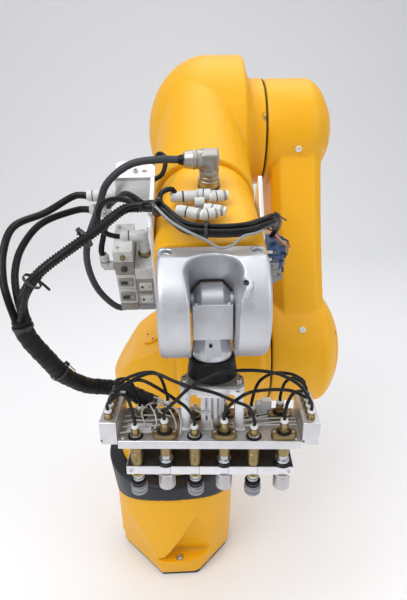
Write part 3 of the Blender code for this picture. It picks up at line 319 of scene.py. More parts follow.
def plastic_finish(name, colour, roughness, dirt=.25):
    """Moulded plastic: fine grain, handling dirt and lighter rubbed edges."""
    finish = Finish(name, colour, roughness)
    finish.tint(finish.span(finish.noise(55.0, 4.0, .65), .45, .75, 0.0, dirt), (.16, .13, .1))
    finish.tint(finish.both(finish.bends(.49, .42), finish.span(finish.noise(80.0), .3, .6)),
        (.1, .09, .08))
    finish.tint(finish.both(finish.bends(.54, .62), finish.span(finish.noise(200.0), .4, .6, 0.0,
        .5)), tuple(min(1.0, c * 1.5 + .03) for c in colour))
    finish.sheen(finish.span(finish.noise(90.0, 3.0), .4, .7), min(.95, roughness + .2))
    finish.bump(finish.noise(1500.0, 2.0), .00004, .6)
    return keep(finish)


def rubber_finish(name, colour, roughness, weave=None, scuff=(.028, .028, .027)):
    """Hose or cable jacket: dusty scuffs, and a woven or ribbed skin where it has one."""
    finish = Finish(name, colour, roughness)
    finish.shader.inputs["Specular IOR Level"].default_value = .25
    finish.tint(finish.span(finish.noise(120.0, 5.0, .7), .58, .78, 0.0, .3), scuff)
    finish.tint(finish.span(finish.noise(22.0, 3.0), .5, .8, 0.0, .35),
        tuple(c * 1.6 + .004 for c in colour))
    finish.sheen(finish.span(finish.noise(150.0, 3.0), .45, .65), min(.95, roughness + .16))
    if weave:
        finish.bump(finish.cells(weave), .0004, .9)
    finish.bump(finish.noise(900.0, 3.0), .00005, .7)
    return keep(finish)


class ARM_OT_finishes(bpy.types.Operator):
    """Make every procedural finish that the arm's pieces share"""
    bl_idname = "arm.finishes"
    bl_label = "Make the finishes"

    def execute(self, context):
        paint = settings().paint
        metal = settings().metal
        yellow = tuple(paint.colour)
        paint_finish("casting_paint", yellow, paint.gloss_roughness, paint.grain, paint.wear)
        paint_finish("shoulder_paint", yellow, paint.gloss_roughness, paint.grain, paint.wear,
            marks=[((-.066, -.035, .372), .02), ((-.075, -.02, .35), .012)])
        paint_finish("elbow_paint", yellow, paint.gloss_roughness, paint.grain * 1.6, paint.wear,
            marks=[((.13, .02, .64), .009), ((.012, -.02, .56), .006)])
        paint_finish("collar_paint", (.013, .016, .022), .4, paint.grain * .6, .8)
        metal_finish("fork_aluminium", tuple(metal.cast), .42, grain=.0001, blotch=.18,
            metallic=.8)
        metal_finish("turned_aluminium", tuple(metal.cast), .33, (900.0, 20.0, 900.0), blotch=.15,
            grain=.00003, metallic=.9)
        metal_finish("plate_aluminium", tuple(metal.plate), .38, (60.0, 1200.0, 1200.0),
            blotch=.12, grain=.00003)
        metal_finish("bracket_aluminium", (.74, .74, .75), .46, blotch=.15, grain=.00006,
            metallic=.75)
        metal_finish("bare_steel", (.52, .53, .55), .26, (15.0, 15.0, 1500.0), blotch=.2,
            grain=.00002)
        metal_finish("cup_steel", (.25, .26, .28), .34, blotch=.4)
        # Painted shade between the gripper plates, with stains
        metal_finish("painted_shade_plate", (.055, .052, .048), .55, blotch=.6, stain=(.12, .09, .06),
            grain=.0002)
        metal_finish("barrel_steel", (.46, .44, .45), .32, (1100.0, 1100.0, 9.0), blotch=.25,
            grain=.00005)
        metal_finish("grimy_plate", (.36, .35, .33), .45, blotch=.6, stain=(.1, .07, .05),
            grain=.0002)
        metal_finish("nozzle_brass", tuple(metal.brass), .34, (25.0, 25.0, 1200.0), blotch=.5,
            grain=.00003)
        metal_finish("plated_connector", (.41, .39, .36), .36, blotch=.45)
        metal_finish("black_screw", (.05, .05, .055), .4, blotch=.3)
        plastic_finish("fitting_white", (.62, .63, .62), .34)
        plastic_finish("collet_white", (.7, .71, .69), .4, dirt=.2)
        plastic_finish("valve_grey", (.29, .275, .255), .48, dirt=.45)
        plastic_finish("valve_beige", (.36, .33, .29), .5, dirt=.5)
        plastic_finish("dark_plastic", (.022, .022, .024), .4)
        plastic_finish("terminal_blue", (.02, .065, .19), .38)
        plastic_finish("terminal_grey", (.26, .27, .29), .45)
        rubber_finish("hose_black", (.005, .005, .006), .3)
        rubber_finish("air_tube_black", (.005, .005, .006), .26)
        rubber_finish("conduit_black", (.006, .006, .007), .36)
        rubber_finish("sleeve_black", (.007, .007, .008), .44, weave=900.0)
        rubber_finish("boot_rubber", (.006, .006, .006), .42)
        rubber_finish("cable_grey", (.05, .053, .058), .4)
        rubber_finish("wire_white", (.52, .52, .5), .45, scuff=(.3, .28, .24))
        rubber_finish("wire_orange", (.56, .16, .03), .45, scuff=(.3, .14, .06))
        return {"FINISHED"}


# ---- Shapes ---------------------------------------------------------------------------

def bridge_loops(form, loops, closed=False):
    """Walls between loops of the same count, with flat ends unless it closes on itself."""
    count = len(loops[0])
    pairs = list(zip(loops, loops[1:])) + ([(loops[-1], loops[0])] if closed else [])
    for lower, upper in pairs:
        for i in range(count):
            j = (i + 1) % count
            form.faces.new((lower[i], lower[j], upper[j], upper[i]))
    if not closed:
        form.faces.new(list(reversed(loops[0])))
        form.faces.new(loops[-1])
    bmesh.ops.recalc_face_normals(form, faces=form.faces)
    return form


def circles(form, profile, sides):
    """Rings of corners about Z, from (height, radius) pairs."""
    return [[form.verts.new((*around(radius, tau * i / sides), height)) for i in range(sides)]
        for height, radius in profile]


def turned(profile, sides=32):
    """A solid of revolution about Z from (height, radius) pairs."""
    form = bmesh.new()
    return bridge_loops(form, circles(form, profile, sides))


def ring(profile, sides=32):
    """A closed ring about Z, whose section is a loop of (height, radius) pairs."""
    form = bmesh.new()
    return bridge_loops(form, circles(form, profile, sides), closed=True)


def drum(radius, low, high, edge=0.0, sides=32):
    """A round bar along Z with softened ends."""
    if edge <= 0.0:
        return turned([(low, radius), (high, radius)], sides)
    return turned([(low, radius - edge), (low + edge * .3, radius - edge * .3),
        (low + edge, radius), (high - edge, radius), (high - edge * .3, radius - edge * .3),
        (high, radius - edge)], sides)


def block(low, high, edge=.0006, steps=2):
    """A box between two corners, with its edges rounded over."""
    form = bmesh.new()
    bmesh.ops.create_cube(form, size=1.0)
    size = Vector(high) - Vector(low)
    middle = (Vector(high) + Vector(low)) / 2
    bmesh.ops.transform(form, matrix=Matrix.Translation(middle) @ Matrix.Diagonal((*size, 1.0)),
        verts=form.verts)
    if edge > 0.0:
        bmesh.ops.bevel(form, geom=form.edges[:], offset=edge, segments=steps, profile=.6,
            affect="EDGES")
    return form


def prism(outline, low, high, edge=0.0, steps=2):
    """An outline in XY raised from low to high, with optional rounded edges."""
    form = bmesh.new()
    loops = [[form.verts.new((x, y, z)) for x, y in outline] for z in (low, high)]
    bridge_loops(form, loops)
    if edge > 0.0:
        bmesh.ops.bevel(form, geom=form.edges[:], offset=edge, segments=steps, profile=.6,
            affect="EDGES", clamp_overlap=True)
    return form


def oval(half_length, half_width, sides=28, corner=None):
    """Outline of a plate with round ends, or with round corners."""
    corner = half_width if corner is None else corner
    points = []
    quarter = sides // 4
    for q, (sx, sy) in enumerate(((1, 1), (-1, 1), (-1, -1), (1, -1))):
        for i in range(quarter + 1):
            angle = pi / 2 * (q + i / quarter)
            points.append((sx * (half_length - corner) + corner * cos(angle), sy
                * (half_width - corner) + corner * sin(angle)))
    return points


def curve_points(knots, step):
    """Evenly spaced points on a smooth curve through the knots."""
    knots = [Vector(k) for k in knots]
    knots = [knots[0] * 2 - knots[1]] + knots + [knots[-1] * 2 - knots[-2]]
    dense = []
    for a, b, c, d in zip(knots, knots[1:], knots[2:], knots[3:]):
        for i in range(24):
            t = i / 24
            dense.append((b * 2 + (c - a) * t + (a * 2 - b * 5 + c * 4 - d) * t ** 2
                + (b * 3 - a - c * 3 + d) * t ** 3) / 2)
    dense.append(knots[-2])
    for _ in range(12):
        dense = [dense[0], dense[1]] + [dense[i] * .5 + (dense[i - 1] + dense[i + 1]) * .25
            for i in range(2, len(dense) - 2)] + dense[-2:]
    lengths = [0.0]
    for p, q in zip(dense, dense[1:]):
        lengths.append(lengths[-1] + (q - p).length)
    count = max(4, round(lengths[-1] / step))
    points = []
    at = 0
    for i in range(count + 1):
        target = lengths[-1] * i / count
        while at < len(dense) - 2 and lengths[at + 1] < target:
            at += 1
        span = max(1e-9, lengths[at + 1] - lengths[at])
        points.append(dense[at].lerp(dense[at + 1], (target - lengths[at]) / span))
    return points


def mm(points):
    """Points that are given in millimetres, in metres."""
    return [tuple(round(number / 1000, 6) for number in point) for point in points]


def route_length(points):
    """Length along a row of points."""
    return sum((q - p).length for p, q in zip(points, points[1:]))


def sweep_frames(points):
    """Two cross directions at every point, carried along without twist."""
    directions = []
    for i in range(len(points)):
        before = points[max(0, i - 1)]
        after = points[min(len(points) - 1, i + 1)]
        directions.append((after - before).normalized())
    side = directions[0].cross(Vector((.31, .17, .93)))
    side.normalize()
    found = []
    for i, ahead in enumerate(directions):
        if i:
            side = directions[i - 1].rotation_difference(ahead) @ side
        side = (side - ahead * side.dot(ahead)).normalized()
        found.append((side, ahead.cross(side)))
    return found


def tube(points, radius, sides=12, swell=None):
    """A tube along points; swell(length, share) scales its radius along the way."""
    form = bmesh.new()
    loops = []
    run = 0.0
    total = route_length(points)
    for i, (point, (u, v)) in enumerate(zip(points, sweep_frames(points))):
        if i:
            run += (points[i] - points[i - 1]).length
        wide = radius * (swell(run, run / total) if swell else 1.0)
        loops.append([form.verts.new(point + (u * cos(tau * k / sides) + v * sin(tau * k / sides))
            * wide) for k in range(sides)])
    return bridge_loops(form, loops)


def hexagon(radius, low, high, edge=.0003):
    """A hexagon bar along Z."""
    return prism([around(radius, tau * i / 6) for i in range(6)], low, high, edge, 1)


def cap_screw(radius, height):
    """A socket head screw standing on Z = 0: round head with a hexagon recess."""
    form = bmesh.new()
    sides = 24
    inner = radius * .52

    def circle(r, z, six=False):
        made = []
        for i in range(sides):
            angle = tau * i / sides
            reach = r
            if six:
                part = (angle % (pi / 3)) - pi / 6
                reach = r * cos(pi / 6) / cos(part)
            made.append(form.verts.new((*around(reach, angle), z)))
        return made

    loops = [circle(radius * 1.02, 0.0), circle(radius, height * .12),
        circle(radius, height * .82), circle(radius * .9, height), circle(inner * 1.12, height),
        circle(inner, height * .93, True), circle(inner * .98, height * .35, True)]
    return bridge_loops(form, loops)


def meshed(name, form):
    """A mesh of a form, which is freed."""
    mesh = bpy.data.meshes.new(name)
    form.to_mesh(mesh)
    form.free()
    return mesh


def linked(name, data):
    """A new object in the scene."""
    item = bpy.data.objects.new(name, data)
    bpy.context.scene.collection.objects.link(item)
    return item


def moved(form, matrix):
    """The same form, moved by a matrix."""
    bmesh.ops.transform(form, matrix=matrix, verts=form.verts)
    return form


def marked(item, replaces):
    """Hide the nodes that an object stands for."""
    if replaces:
        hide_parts(*replaces)
    return item


class Assembly:
    """Collects shapes of several finishes into one piece of the arm."""

    def __init__(self, where):
        self.matrix, self.body = FRAMES[where]
        self.form = bmesh.new()
        self.looks = []

    def add(self, shape, look, place=None):
        """Add a shape, moved by a matrix in the working frame."""
        if place is not None:
            moved(shape, place)
        if look not in self.looks:
            self.looks.append(look)
        index = self.looks.index(look)
        for face in shape.faces:
            face.material_index = index
        spare = meshed("spare", shape)
        self.form.from_mesh(spare)
        bpy.data.meshes.remove(spare)

    def screw(self, radius, height, place):
        """Add a bright cap screw."""
        self.add(cap_screw(radius, height), "bare_steel", place)

    def make(self, name, replaces=(), sharp=38.0, ride=True):
        """Finish the piece, put it in the scene and let it ride on its body."""
        mesh = meshed(name, self.form)
        mesh.transform(self.matrix)
        for look in self.looks:
            mesh.materials.append(FINISHES[look])
        mesh.shade_smooth()
        mesh.set_sharp_from_angle(angle=radians(sharp))
        item = linked(name, mesh)
        if ride:
            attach(item, self.body)
        return marked(item, replaces)


def bake(item):
    """Replace an object's mesh by the result of its modifiers."""
    graph = bpy.context.evaluated_depsgraph_get()
    graph.update()
    made = bpy.data.meshes.new_from_object(item.evaluated_get(graph))
    spare = item.data
    item.modifiers.clear()
    item.data = made
    bpy.data.meshes.remove(spare)


def loose_object(form):
    """A temporary object from a bmesh."""
    return linked("helper", meshed("helper", form))


def taken(item):
    """The mesh of a temporary object as a bmesh; the object goes."""
    form = bmesh.new()
    form.from_mesh(item.data)
    bpy.data.objects.remove(item, do_unlink=True)
    return form


def bevelled(form, width, segments, degrees):
    """A form with its edges that are sharper than an angle bevelled."""
    item = loose_object(form)
    bevel = item.modifiers.new("edge", "BEVEL")
    bevel.width = width
    bevel.segments = segments
    bevel.limit_method = "ANGLE"
    bevel.angle_limit = radians(degrees)
    bake(item)
    return taken(item)


def combine(item, form, operation):
    """Add, cut or intersect with another closed form."""
    other = loose_object(form)
    step = item.modifiers.new("join", "BOOLEAN")
    step.operation = operation
    step.object = other
    step.solver = "EXACT"
    bake(item)
    spare = other.data
    bpy.data.objects.remove(other, do_unlink=True)
    bpy.data.meshes.remove(spare)


def cut_from(form, cuts):
    """A form with others cut out of it."""
    item = loose_object(form)
    for cut in cuts:
        combine(item, cut, "DIFFERENCE")
    return taken(item)


def casting(name, where, first, look, *, voxel, smooth, replaces, add=(), keep_in=(),
        cut=(), late=()):
    """A cast piece: closed forms joined and cut, then remeshed so that edges are soft."""
    matrix, body = FRAMES[where]
    item = loose_object(first)
    item.name = name
    for operation, forms in (("UNION", add), ("INTERSECT", keep_in), ("UNION", late),
            ("DIFFERENCE", cut)):
        for form in forms:
            combine(item, form, operation)
    skin = item.modifiers.new("skin", "REMESH")
    skin.mode = "VOXEL"
    skin.voxel_size = voxel
    soft = item.modifiers.new("soft", "SMOOTH")
    soft.factor = .5
    soft.iterations = smooth
    bake(item)
    if not item.data.polygons:
        raise RuntimeError(f"{name} came out empty")
    item.data.name = name
    item.data.transform(matrix)
    item.data.materials.clear()
    item.data.materials.append(FINISHES[look])
    item.data.shade_smooth()
    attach(item, body)
    marked(item, replaces)


def turned_across(profile, sides=96, centre=(0.0, 0.0, 0.0)):
    """A solid of revolution about X from (x, radius) pairs."""
    return moved(turned(profile, sides), Matrix.Translation(centre) @ ACROSS)


def at(x, y, z):
    """A move to a place in the working frame."""
    return Matrix.Translation((x, y, z))


# ---- Camera and cords -----------------------------------------------------------------

# The camera: sensor in millimetres, focal length and picture height in picture points
SENSOR_WIDTH = 36.0
FOCAL_LENGTH = 471.0
PICTURE_HEIGHT = 600.0


class ARM_OT_camera(bpy.types.Operator):
    """Set the camera in front of the arm, a little above the wrist"""
    bl_idname = "arm.camera"
    bl_label = "Set the camera"

    def execute(self, context):
        pitch, yaw, roll = radians(21.3), radians(2.0), radians(-.8)
        ahead = Vector((sin(yaw) * cos(pitch), cos(yaw) * cos(pitch), -sin(pitch)))
        level = Vector((cos(yaw), -sin(yaw), 0.0))
        up = level.cross(ahead)
        right = level * cos(roll) + up * sin(roll)
        top = up * cos(roll) - level * sin(roll)
        data = bpy.data.cameras.new("arm_camera")
        data.sensor_fit = "AUTO"
        data.sensor_width = SENSOR_WIDTH
        data.lens = SENSOR_WIDTH * FOCAL_LENGTH / PICTURE_HEIGHT
        data.clip_start = .01
        data.clip_end = 30.0
        item = linked("arm_camera", data)
        item.matrix_world = Matrix(((right.x, top.x, -ahead.x, .028),
            (right.y, top.y, -ahead.y, -.588), (right.z, top.z, -ahead.z, .64),
            (0.0, 0.0, 0.0, 1.0)))
        context.scene.camera = item
        return {"FINISHED"}


def lay_cord(name, where, knots, radius, look, bends=None, replaces=(), sides=12, step=None,
        swell=None, declared=True):
    """A hose, tube or wire from end to end."""
    matrix, body = FRAMES[where]
    points = [matrix @ p for p in curve_points(knots, step or radius * 1.5)]
    mesh = meshed(name, tube(points, radius, sides, swell))
    mesh.materials.append(FINISHES[look])
    mesh.shade_smooth()
    mesh.set_sharp_from_angle(angle=radians(50.0))
    item = linked(name, mesh)
    if bends:
        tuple(points[0])
        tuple(points[-1])
        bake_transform(item)
    else:
        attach(item, body)
    if declared:
        path = points[:-1:max(1, (len(points) - 1) // 40)] + [points[-1]]
        tuple(points[0])
        route_length(path)
        [tuple(p) for p in path]
    marked(item, replaces)
    return points


def ribs(pitch, depth):
    """Swelling of a corrugated conduit."""
    return lambda run, share: 1.0 + depth * cos(tau * run / pitch)


def tie_forms(assembly, points, at_share, radius, tail, turn):
    """A cable tie round a bundle, with its square lock and cut tail."""
    index = min(len(points) - 2, max(1, round(at_share * (len(points) - 1))))
    ahead = (points[index + 1] - points[index - 1]).normalized()
    place = Matrix.Translation(points[index]) @ ahead.to_track_quat("Z",
        "Y").to_matrix().to_4x4() @ spin(turn, "Z")
    wide = .0013
    band = ring([(-wide, radius), (-wide, radius + .0008), (wide, radius + .0008),
        (wide, radius)], 28)
    for shape in (band, block((radius - .0002, -.0022, -.0019), (radius + .003, .0022, .0019),
            .0004), block((radius + .001, -.0002, -.0012), (radius + .002, tail, .0012), .0003,
            1)):
        assembly.add(shape, "dark_plastic", place)


SLEEVE_ROUTE = mm([(-171, 1.2, -15.3), (-169.7, 1.5, -27), (-164.5, 2.5, -39.5),
    (-155.5, 6.5, -57), (-145, 16.5, -81), (-129, 32.5, -103), (-115, 43.5, -112.5),
    (-100, 47, -117), (-87, 44, -120), (-73, 36, -122.5), (-58, 26.8, -123)])
UPPER_LOOP_ROUTE = mm([(-120.4, 95.5, 79.2), (-134, 95.2, 79.2), (-159.8, 78.2, 65.9),
    (-180.3, 46.2, 60.4), (-185.7, 24.2, 41.7), (-184.4, 10.2, 20), (-179.7, 1.7, 4.1),
    (-175.2, -1, -14.2)])
LOWER_LOOP_ROUTE = mm([(-120.4, 102.6, 63.8), (-134, 102.2, 63.8), (-165.9, 84.2, 54.8),
    (-179.6, 56.2, 37.7), (-181.5, 33.2, 19.9), (-176.1, 14.2, 3), (-171.8, 7.6, -13.5)])
LOOP_BUNDLE_ROUTE = mm([(-60.9, 27.3, 78.7), (-76, 29, 76.7), (-98.6, 15.2, 61.9),
    (-123.1, -1.8, 47.4), (-143.9, -11.8, 33.4), (-158, -11.8, 16.9), (-165.5, -5.8, 2),
    (-166.5, -1.3, -13.8)])


class ARM_OT_loops(bpy.types.Operator):
    """Lay the two hoses, the conduit and the sleeve that loop down to the tool"""
    bl_idname = "arm.loops"
    bl_label = "Lay the loops"

    def execute(self, context):
        wrist_joint = ("forearm", "wrist")
        flange_joint = ("wrist", "tool")
        lay_cord("loop_hose_upper_skin", "wrist", UPPER_LOOP_ROUTE, .0035, "hose_black",
            wrist_joint, ("loop_hose_upper",), 16)
        lay_cord("loop_hose_lower_skin", "wrist", LOWER_LOOP_ROUTE, .0035, "hose_black",
            wrist_joint, ("loop_hose_lower",), 16)
        inner = lay_cord("loop_conduit", "wrist", LOOP_BUNDLE_ROUTE, .0043, "conduit_black",
            wrist_joint, ("loop_bundle",), 18, .0007, ribs(.0028, .13))
        beside = [(x + .0035, y - .006, z + .003) for x, y, z in LOOP_BUNDLE_ROUTE]
        beside[-1] = (-.17, -.0045, -.014)
        lay_cord("loop_side_hose", "wrist", beside, .0026, "hose_black",
            wrist_joint, (), 12)

        def sleeve_size(run, share):
            folds = .022 * sin(run * 900.0) + .018 * sin(run * 523.0 + 1.3)
            step = .04 if share < .42 else (-.03 if share < .47 else 0.0)
            return .96 + folds + step - .12 * max(0.0, share - .9) / .1

        route = lay_cord("loop_sleeve_skin", "wrist", SLEEVE_ROUTE, .0085, "sleeve_black",
            flange_joint, ("loop_sleeve",), 28, .0016, sleeve_size)
        for name, joint, line, bands in (("sleeve_ties", flange_joint, route,
                ((.03, .0088, .012, 2.6), (.36, .009, .016, 1.7))),
                ("conduit_ties", wrist_joint, inner, ((.36, .0078, .012, 2.2),
                (.72, .0078, .014, 3.4)))):
            ties = Assembly("wrist")
            ties.matrix = Matrix.Identity(4)
            for band in bands:
                tie_forms(ties, line, *band)
            made = ties.make(name, ride=False)
            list(joint)
            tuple(line[0])
            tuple(line[-1])
            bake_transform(made)
        return {"FINISHED"}


FRONT_BUNDLE_ROUTE = mm([(-59, 57.5, 60), (-44, 52, 62), (-30, 34, 61), (-18, 25, 59),
    (7, 21, 59), (30, 23, 59), (48, 37, 54), (64, 62, 39), (71, 87, 15), (71.5, 100.2, -2),
    (71.5, 100.5, -11.5)])
RISER_ROUTE = mm([(-108.2, 82.5, -14), (-108.2, 83.2, -8), (-106.8, 101, -3.5),
    (-105.3, 119.5, -.5), (-105.3, 120, 5.6)])
GREY_CABLE_ROUTE = mm([(-22.6, 106, 77.9), (-45, 106, 78.5), (-72, 104, 75), (-95, 99.5, 58),
    (-105, 96, 35), (-119, 80, 6), (-123, 74, -22), (-117, 72, -56), (-101, 75, -86),
    (-88, 81, -91), (-85.6, 82, -84.5), (-85.5, 82, -76.5)])


class ARM_OT_forearm_cords(bpy.types.Operator):
    """Lay the cable, the riser and the strands that stay on the forearm"""
    bl_idname = "arm.forearm_cords"
    bl_label = "Lay the forearm's cords"

    def execute(self, context):
        lay_cord("grey_cable_skin", "front", GREY_CABLE_ROUTE, .0035, "cable_grey",
            None, ("grey_cable",), 16)
        lay_cord("riser_tube_skin", "front", RISER_ROUTE, .003, "hose_black",
            None, ("riser_tube",), 14)
        centre = FRONT_BUNDLE_ROUTE
        count = settings().hose.strands
        offsets = [(0.0, -.0034, .0026), (0.0, .0034, .003), (0.0, 0.0, -.0024),
            (0.0, .0068, .0004), (0.0, -.0062, -.001), (0.0, 0.0, .0064)]
        for i, (dx, dy, dz) in enumerate(offsets[:count]):
            sway = [sin(1.9 * k + i) * .001 for k in range(len(centre))]
            knots = [(x + dx, y + dy + w, z + dz - w * .6) for (x, y, z), w in zip(centre, sway)]
            knots[0] = (centre[0][0], centre[0][1] + dy * .7, centre[0][2] + dz * .7)
            knots[-1] = (centre[-1][0] + dy * .6, centre[-1][1] + dz * .8, centre[-1][2])
            lay_cord(f"bundle_strand_{i + 1}", "front", knots, .0027, "hose_black" if i != 2
                else "cable_grey", None, ("front_bundle",) if i == 0 else (), 12)
        ties = Assembly("front")
        route = [Vector(p) for p in curve_points(centre, .003)]
        for share, turn in ((.07, 1.4), (.3, 1.2), (.62, 1.8)):
            tie_forms(ties, route, share, .0068, .011, turn)
        ties.make("bundle_ties")
        left = mm([(-103.5, 119.5, 16), (-93, 113, 29), (-79, 93, 50.5), (-69, 76, 59),
            (-60, 62.5, 61)])
        lay_cord("tee_hose", "front", left, .003, "hose_black")
        arc = mm([(-44, 60, 64), (-42, 70, 66.5), (-33, 79, 64), (-29, 76.5, 57)])
        lay_cord("cluster_link_left", "front", arc, .0024, "hose_black",
            step=.002)
        hook = mm([(-52, 144, 53.5), (-47, 150, 60), (-40.5, 143, 60), (-40.5, 133, 56),
            (-44, 123, 52), (-52, 119, 49)])
        lay_cord("hook_hose", "front", hook, .0024, "hose_black", step=.002)
        feed = mm([(-60, 60, 59), (-80, 75, 57), (-98.5, 85, 46), (-106, 85, 29), (-101, 83, 13),
            (-90, 82.5, 8.5), (-84, 82.5, 8.5)])
        lay_cord("elbow_feed_hose", "front", feed, .0026, "hose_black", step=.002)
        thin = mm([(-50, 52, 68), (-34, 27, 67), (-18, 15, 64), (-4, 11, 58.5), (6, 6, 54.5),
            (17, 8.5, 55.5), (26, 14, 60), (39, 20, 59), (53, 42, 52), (66, 64, 35)])
        lay_cord("thin_grey_wire", "front", thin, .0012, "terminal_grey",
            step=.0016, sides=8)
        return {"FINISHED"}


# Air tubes over the plates, from a manifold's port to a unit's, in the tool's frame;
# the points between the ports are in millimetres
PORT_TOP = -.1023
PLATE_TOP = -.1323
PORTS = {side: [(x, y, PORT_TOP) for y in (-.02, -.0101, -.0003, .0096, .0195)] for side,
    x in (("left", -.0981), ("right", .0921))}
UNIT_X = [-.07375, -.04545, -.01715, .01115, .03945, .06775]
AIR_TUBES = [("left", 0, "front", 1, [(-91.8, -23.5, -89.7), (-84, -25, -82.6), (-77, -25, -88)]),
    ("left", 1, "front", 5, [(-91.7, -14.4, -90), (-77.6, -15.6, -75.9), (-54.8, -19.2, -63.8),
    (-34.5, -28, -66.7), (-19.3, -35, -68.6), (1.2, -35.8, -73.8), (18.9, -32.7, -84.4),
    (33.3, -26, -96)]), ("left", 2, "front", 3, [(-92.3, -7.4, -90), (-81.9, -10.8, -80.6),
    (-66.5, -15.9, -73), (-50.7, -20.9, -77.9), (-35.4, -25, -86.8), (-23.7, -24.3, -97.5)]),
    ("left", 3, "back", 2, [(-92.7, -1.5, -90), (-82, -.8, -80.2), (-64.6, 2.3, -75.6),
    (-52, 8, -82)]), ("left", 4, "back", 1, [(-95, 16, -92), (-85.9, 13, -89), (-79, 11, -95)]),
    ("right", 0, "front", 2, [(89.4, -22.4, -90.2), (78.9, -25, -73.6), (61.4, -28.1, -60.7),
    (41.9, -31.3, -54.6), (20, -34.6, -52.7), (1.2, -36.8, -55.6), (-19.2, -36, -68.5),
    (-33.4, -31.9, -85.8), (-40.5, -27, -96)]), ("right", 1, "front", 4,
    [(85.8, -17.6, -90), (72.3, -21.4, -81.1), (53.4, -26.6, -76.6), (33.7, -30.8, -76.9),
    (22.2, -28.5, -86), (15, -24.9, -96)]), ("right", 2, "front", 6,
    [(85, -8, -90), (76, -14, -88), (70, -18, -96)]), ("right", 3, "back", 6,
    [(86, 8, -89), (78, 8, -85), (71, 10, -92)]), ("right", 4, "back", 5,
    [(86, 17, -90), (76, 16, -85), (60, 15, -84), (46, 13.5, -93)]),]
SIGNAL_WIRES = [[(-60, 20, -115), (-56.6, 14.8, -112), (-50.8, 8.1, -111), (-53.7, 2.9, -116.6),
    (-48.9, 1.2, -122.3), (-42.2, 3.6, -126), (-39, 8, -131)], [(-56, 20, -118),
    (-44.3, 8.5, -116.5), (-34.7, -5.9, -112.5), (-30.3, -13.7, -118.5), (-30.3, -17.7, -125.1),
    (-31, -19, -131.2)], [(-56, 21, -120), (-29.2, 9.4, -116.1), (-15.2, -10, -110.4),
    (-2.3, -16.5, -113), (.1, -17, -125.2), (1, -17.5, -131.2)],
    [(-56.5, 19, -119), (-39.3, 7.8, -118), (-28.4, -5.5, -118.5), (-22, -10, -125),
    (-21.5, -12, -131.2)], [(-57.5, 17, -120), (-45, 2, -115), (-38, -7, -119), (-35, -15, -126),
    (-38, -21, -131.2)], [(-60, 15, -119), (-62, 4, -113), (-56, -7, -116), (-54, -13, -124),
    (-58, -15, -131.2)], [(-60, 18, -120), (-65, 8, -116), (-70, 0, -119), (-67, -7, -125),
    (-64, -9, -131.2)],]


class ARM_OT_air_tubes(bpy.types.Operator):
    """Lay the air tubes from the manifolds to the units, and the signal wires"""
    bl_idname = "arm.air_tubes"
    bl_label = "Lay the air tubes"

    def execute(self, context):
        thick = settings().hose.air_tube / 2
        for side, port, row, column, middle in AIR_TUBES:
            start = Vector(PORTS[side][port])
            high = -.1195 if column % 2 else -.113
            end = Vector((UNIT_X[column - 1], -.02 if row == "front" else .012, high))
            up = Vector((0.0, 0.0, .0055))
            knots = [start - up * .4, start + up] + mm(middle) + [end + up, end - up * .4]
            lay_cord(f"air_tube_{side}_{port + 1}", "tool", knots, thick, "air_tube_black",
                sides=12, step=.0018)
        wire = settings().hose.wire / 2
        for i, knots in enumerate(SIGNAL_WIRES):
            lay_cord(f"signal_wire_{i + 1}", "tool", mm(knots), wire, "wire_white",
                sides=8, step=.0014)
        generator = random.Random(5)
        for i in range(7):
            low = -.024 + .0052 * i
            rise = generator.uniform(.0004, .0014)
            knots = [(.083, low + .01, -.1308), (.06, low + .008, -.1308 + rise),
                (.038, low + .004 + generator.uniform(-.003, .003), -.1308 + rise),
                (.013, low * .5 - .002, -.1308)]
            if i in (0, 1):
                continue
            lay_cord(f"plate_wire_{i + 1}", "tool", knots, wire * .9, "wire_white",
                sides=8, step=.002, declared=False)
        for i in range(4):
            low = -.018 + .009 * i
            knots = [(-.0895, low, -.1308), (-.078, low + .002, -.13), (-.064, low + .001, -.13),
                (-.052, low + .004, -.1308)]
            lay_cord(f"plate_strip_{i + 1}", "tool", knots, wire * 1.2, "wire_white",
                sides=8, step=.002, declared=False)
        return {"FINISHED"}


# ---- Castings -------------------------------------------------------------------------

SIDEWAYS = Matrix(((0, 0, 1, 0), (1, 0, 0, 0), (0, 1, 0, 0), (0, 0, 0, 1)))
FACING = Matrix(((1, 0, 0, 0), (0, 0, -1, 0), (0, 1, 0, 0), (0, 0, 0, 1)))


def side_prism(outline, low, high, edge=0.0):
    """An outline in YZ, raised along X from low to high."""
    return moved(prism(outline, low, high, edge), SIDEWAYS)


def front_prism(outline, low, high):
    """An outline in XZ, raised along Y from low to high."""
    return moved(prism(outline, -high, -low), FACING)


def arch_outline(lift, reach=.115, crown=.156, side=.122):
    """Outline in XZ of what lies under the pedestal's arched top edge."""
    points = [(-reach, -.02)]
    for i in range(41):
        x = -reach + 2 * reach * i / 40
        points.append((x, crown - (crown - side) * (x / .0865) ** 2 + lift))
    return points + [(reach, -.02)]


# The foot's flat sides: the way they face, and how far out they are at the floor and
# at the height where they run out into the round wall
FOOT_FLATS = [(radians(223.0), .0665, .09, .118), (radians(270.0), .0757, .0985, .092),
    (radians(318.0), .0743, .09, .09)]


def foot_outline(radius):
    """Outline of the foot on the floor: a circle that the flat sides cut."""
    points = []
    for i in range(144):
        angle = tau * i / 144
        reach = radius
        for facing, near, _, _ in FOOT_FLATS:
            turn = cos(angle - facing)
            if turn > .05:
                reach = min(reach, near / turn)
        points.append(around(reach, angle))
    return points


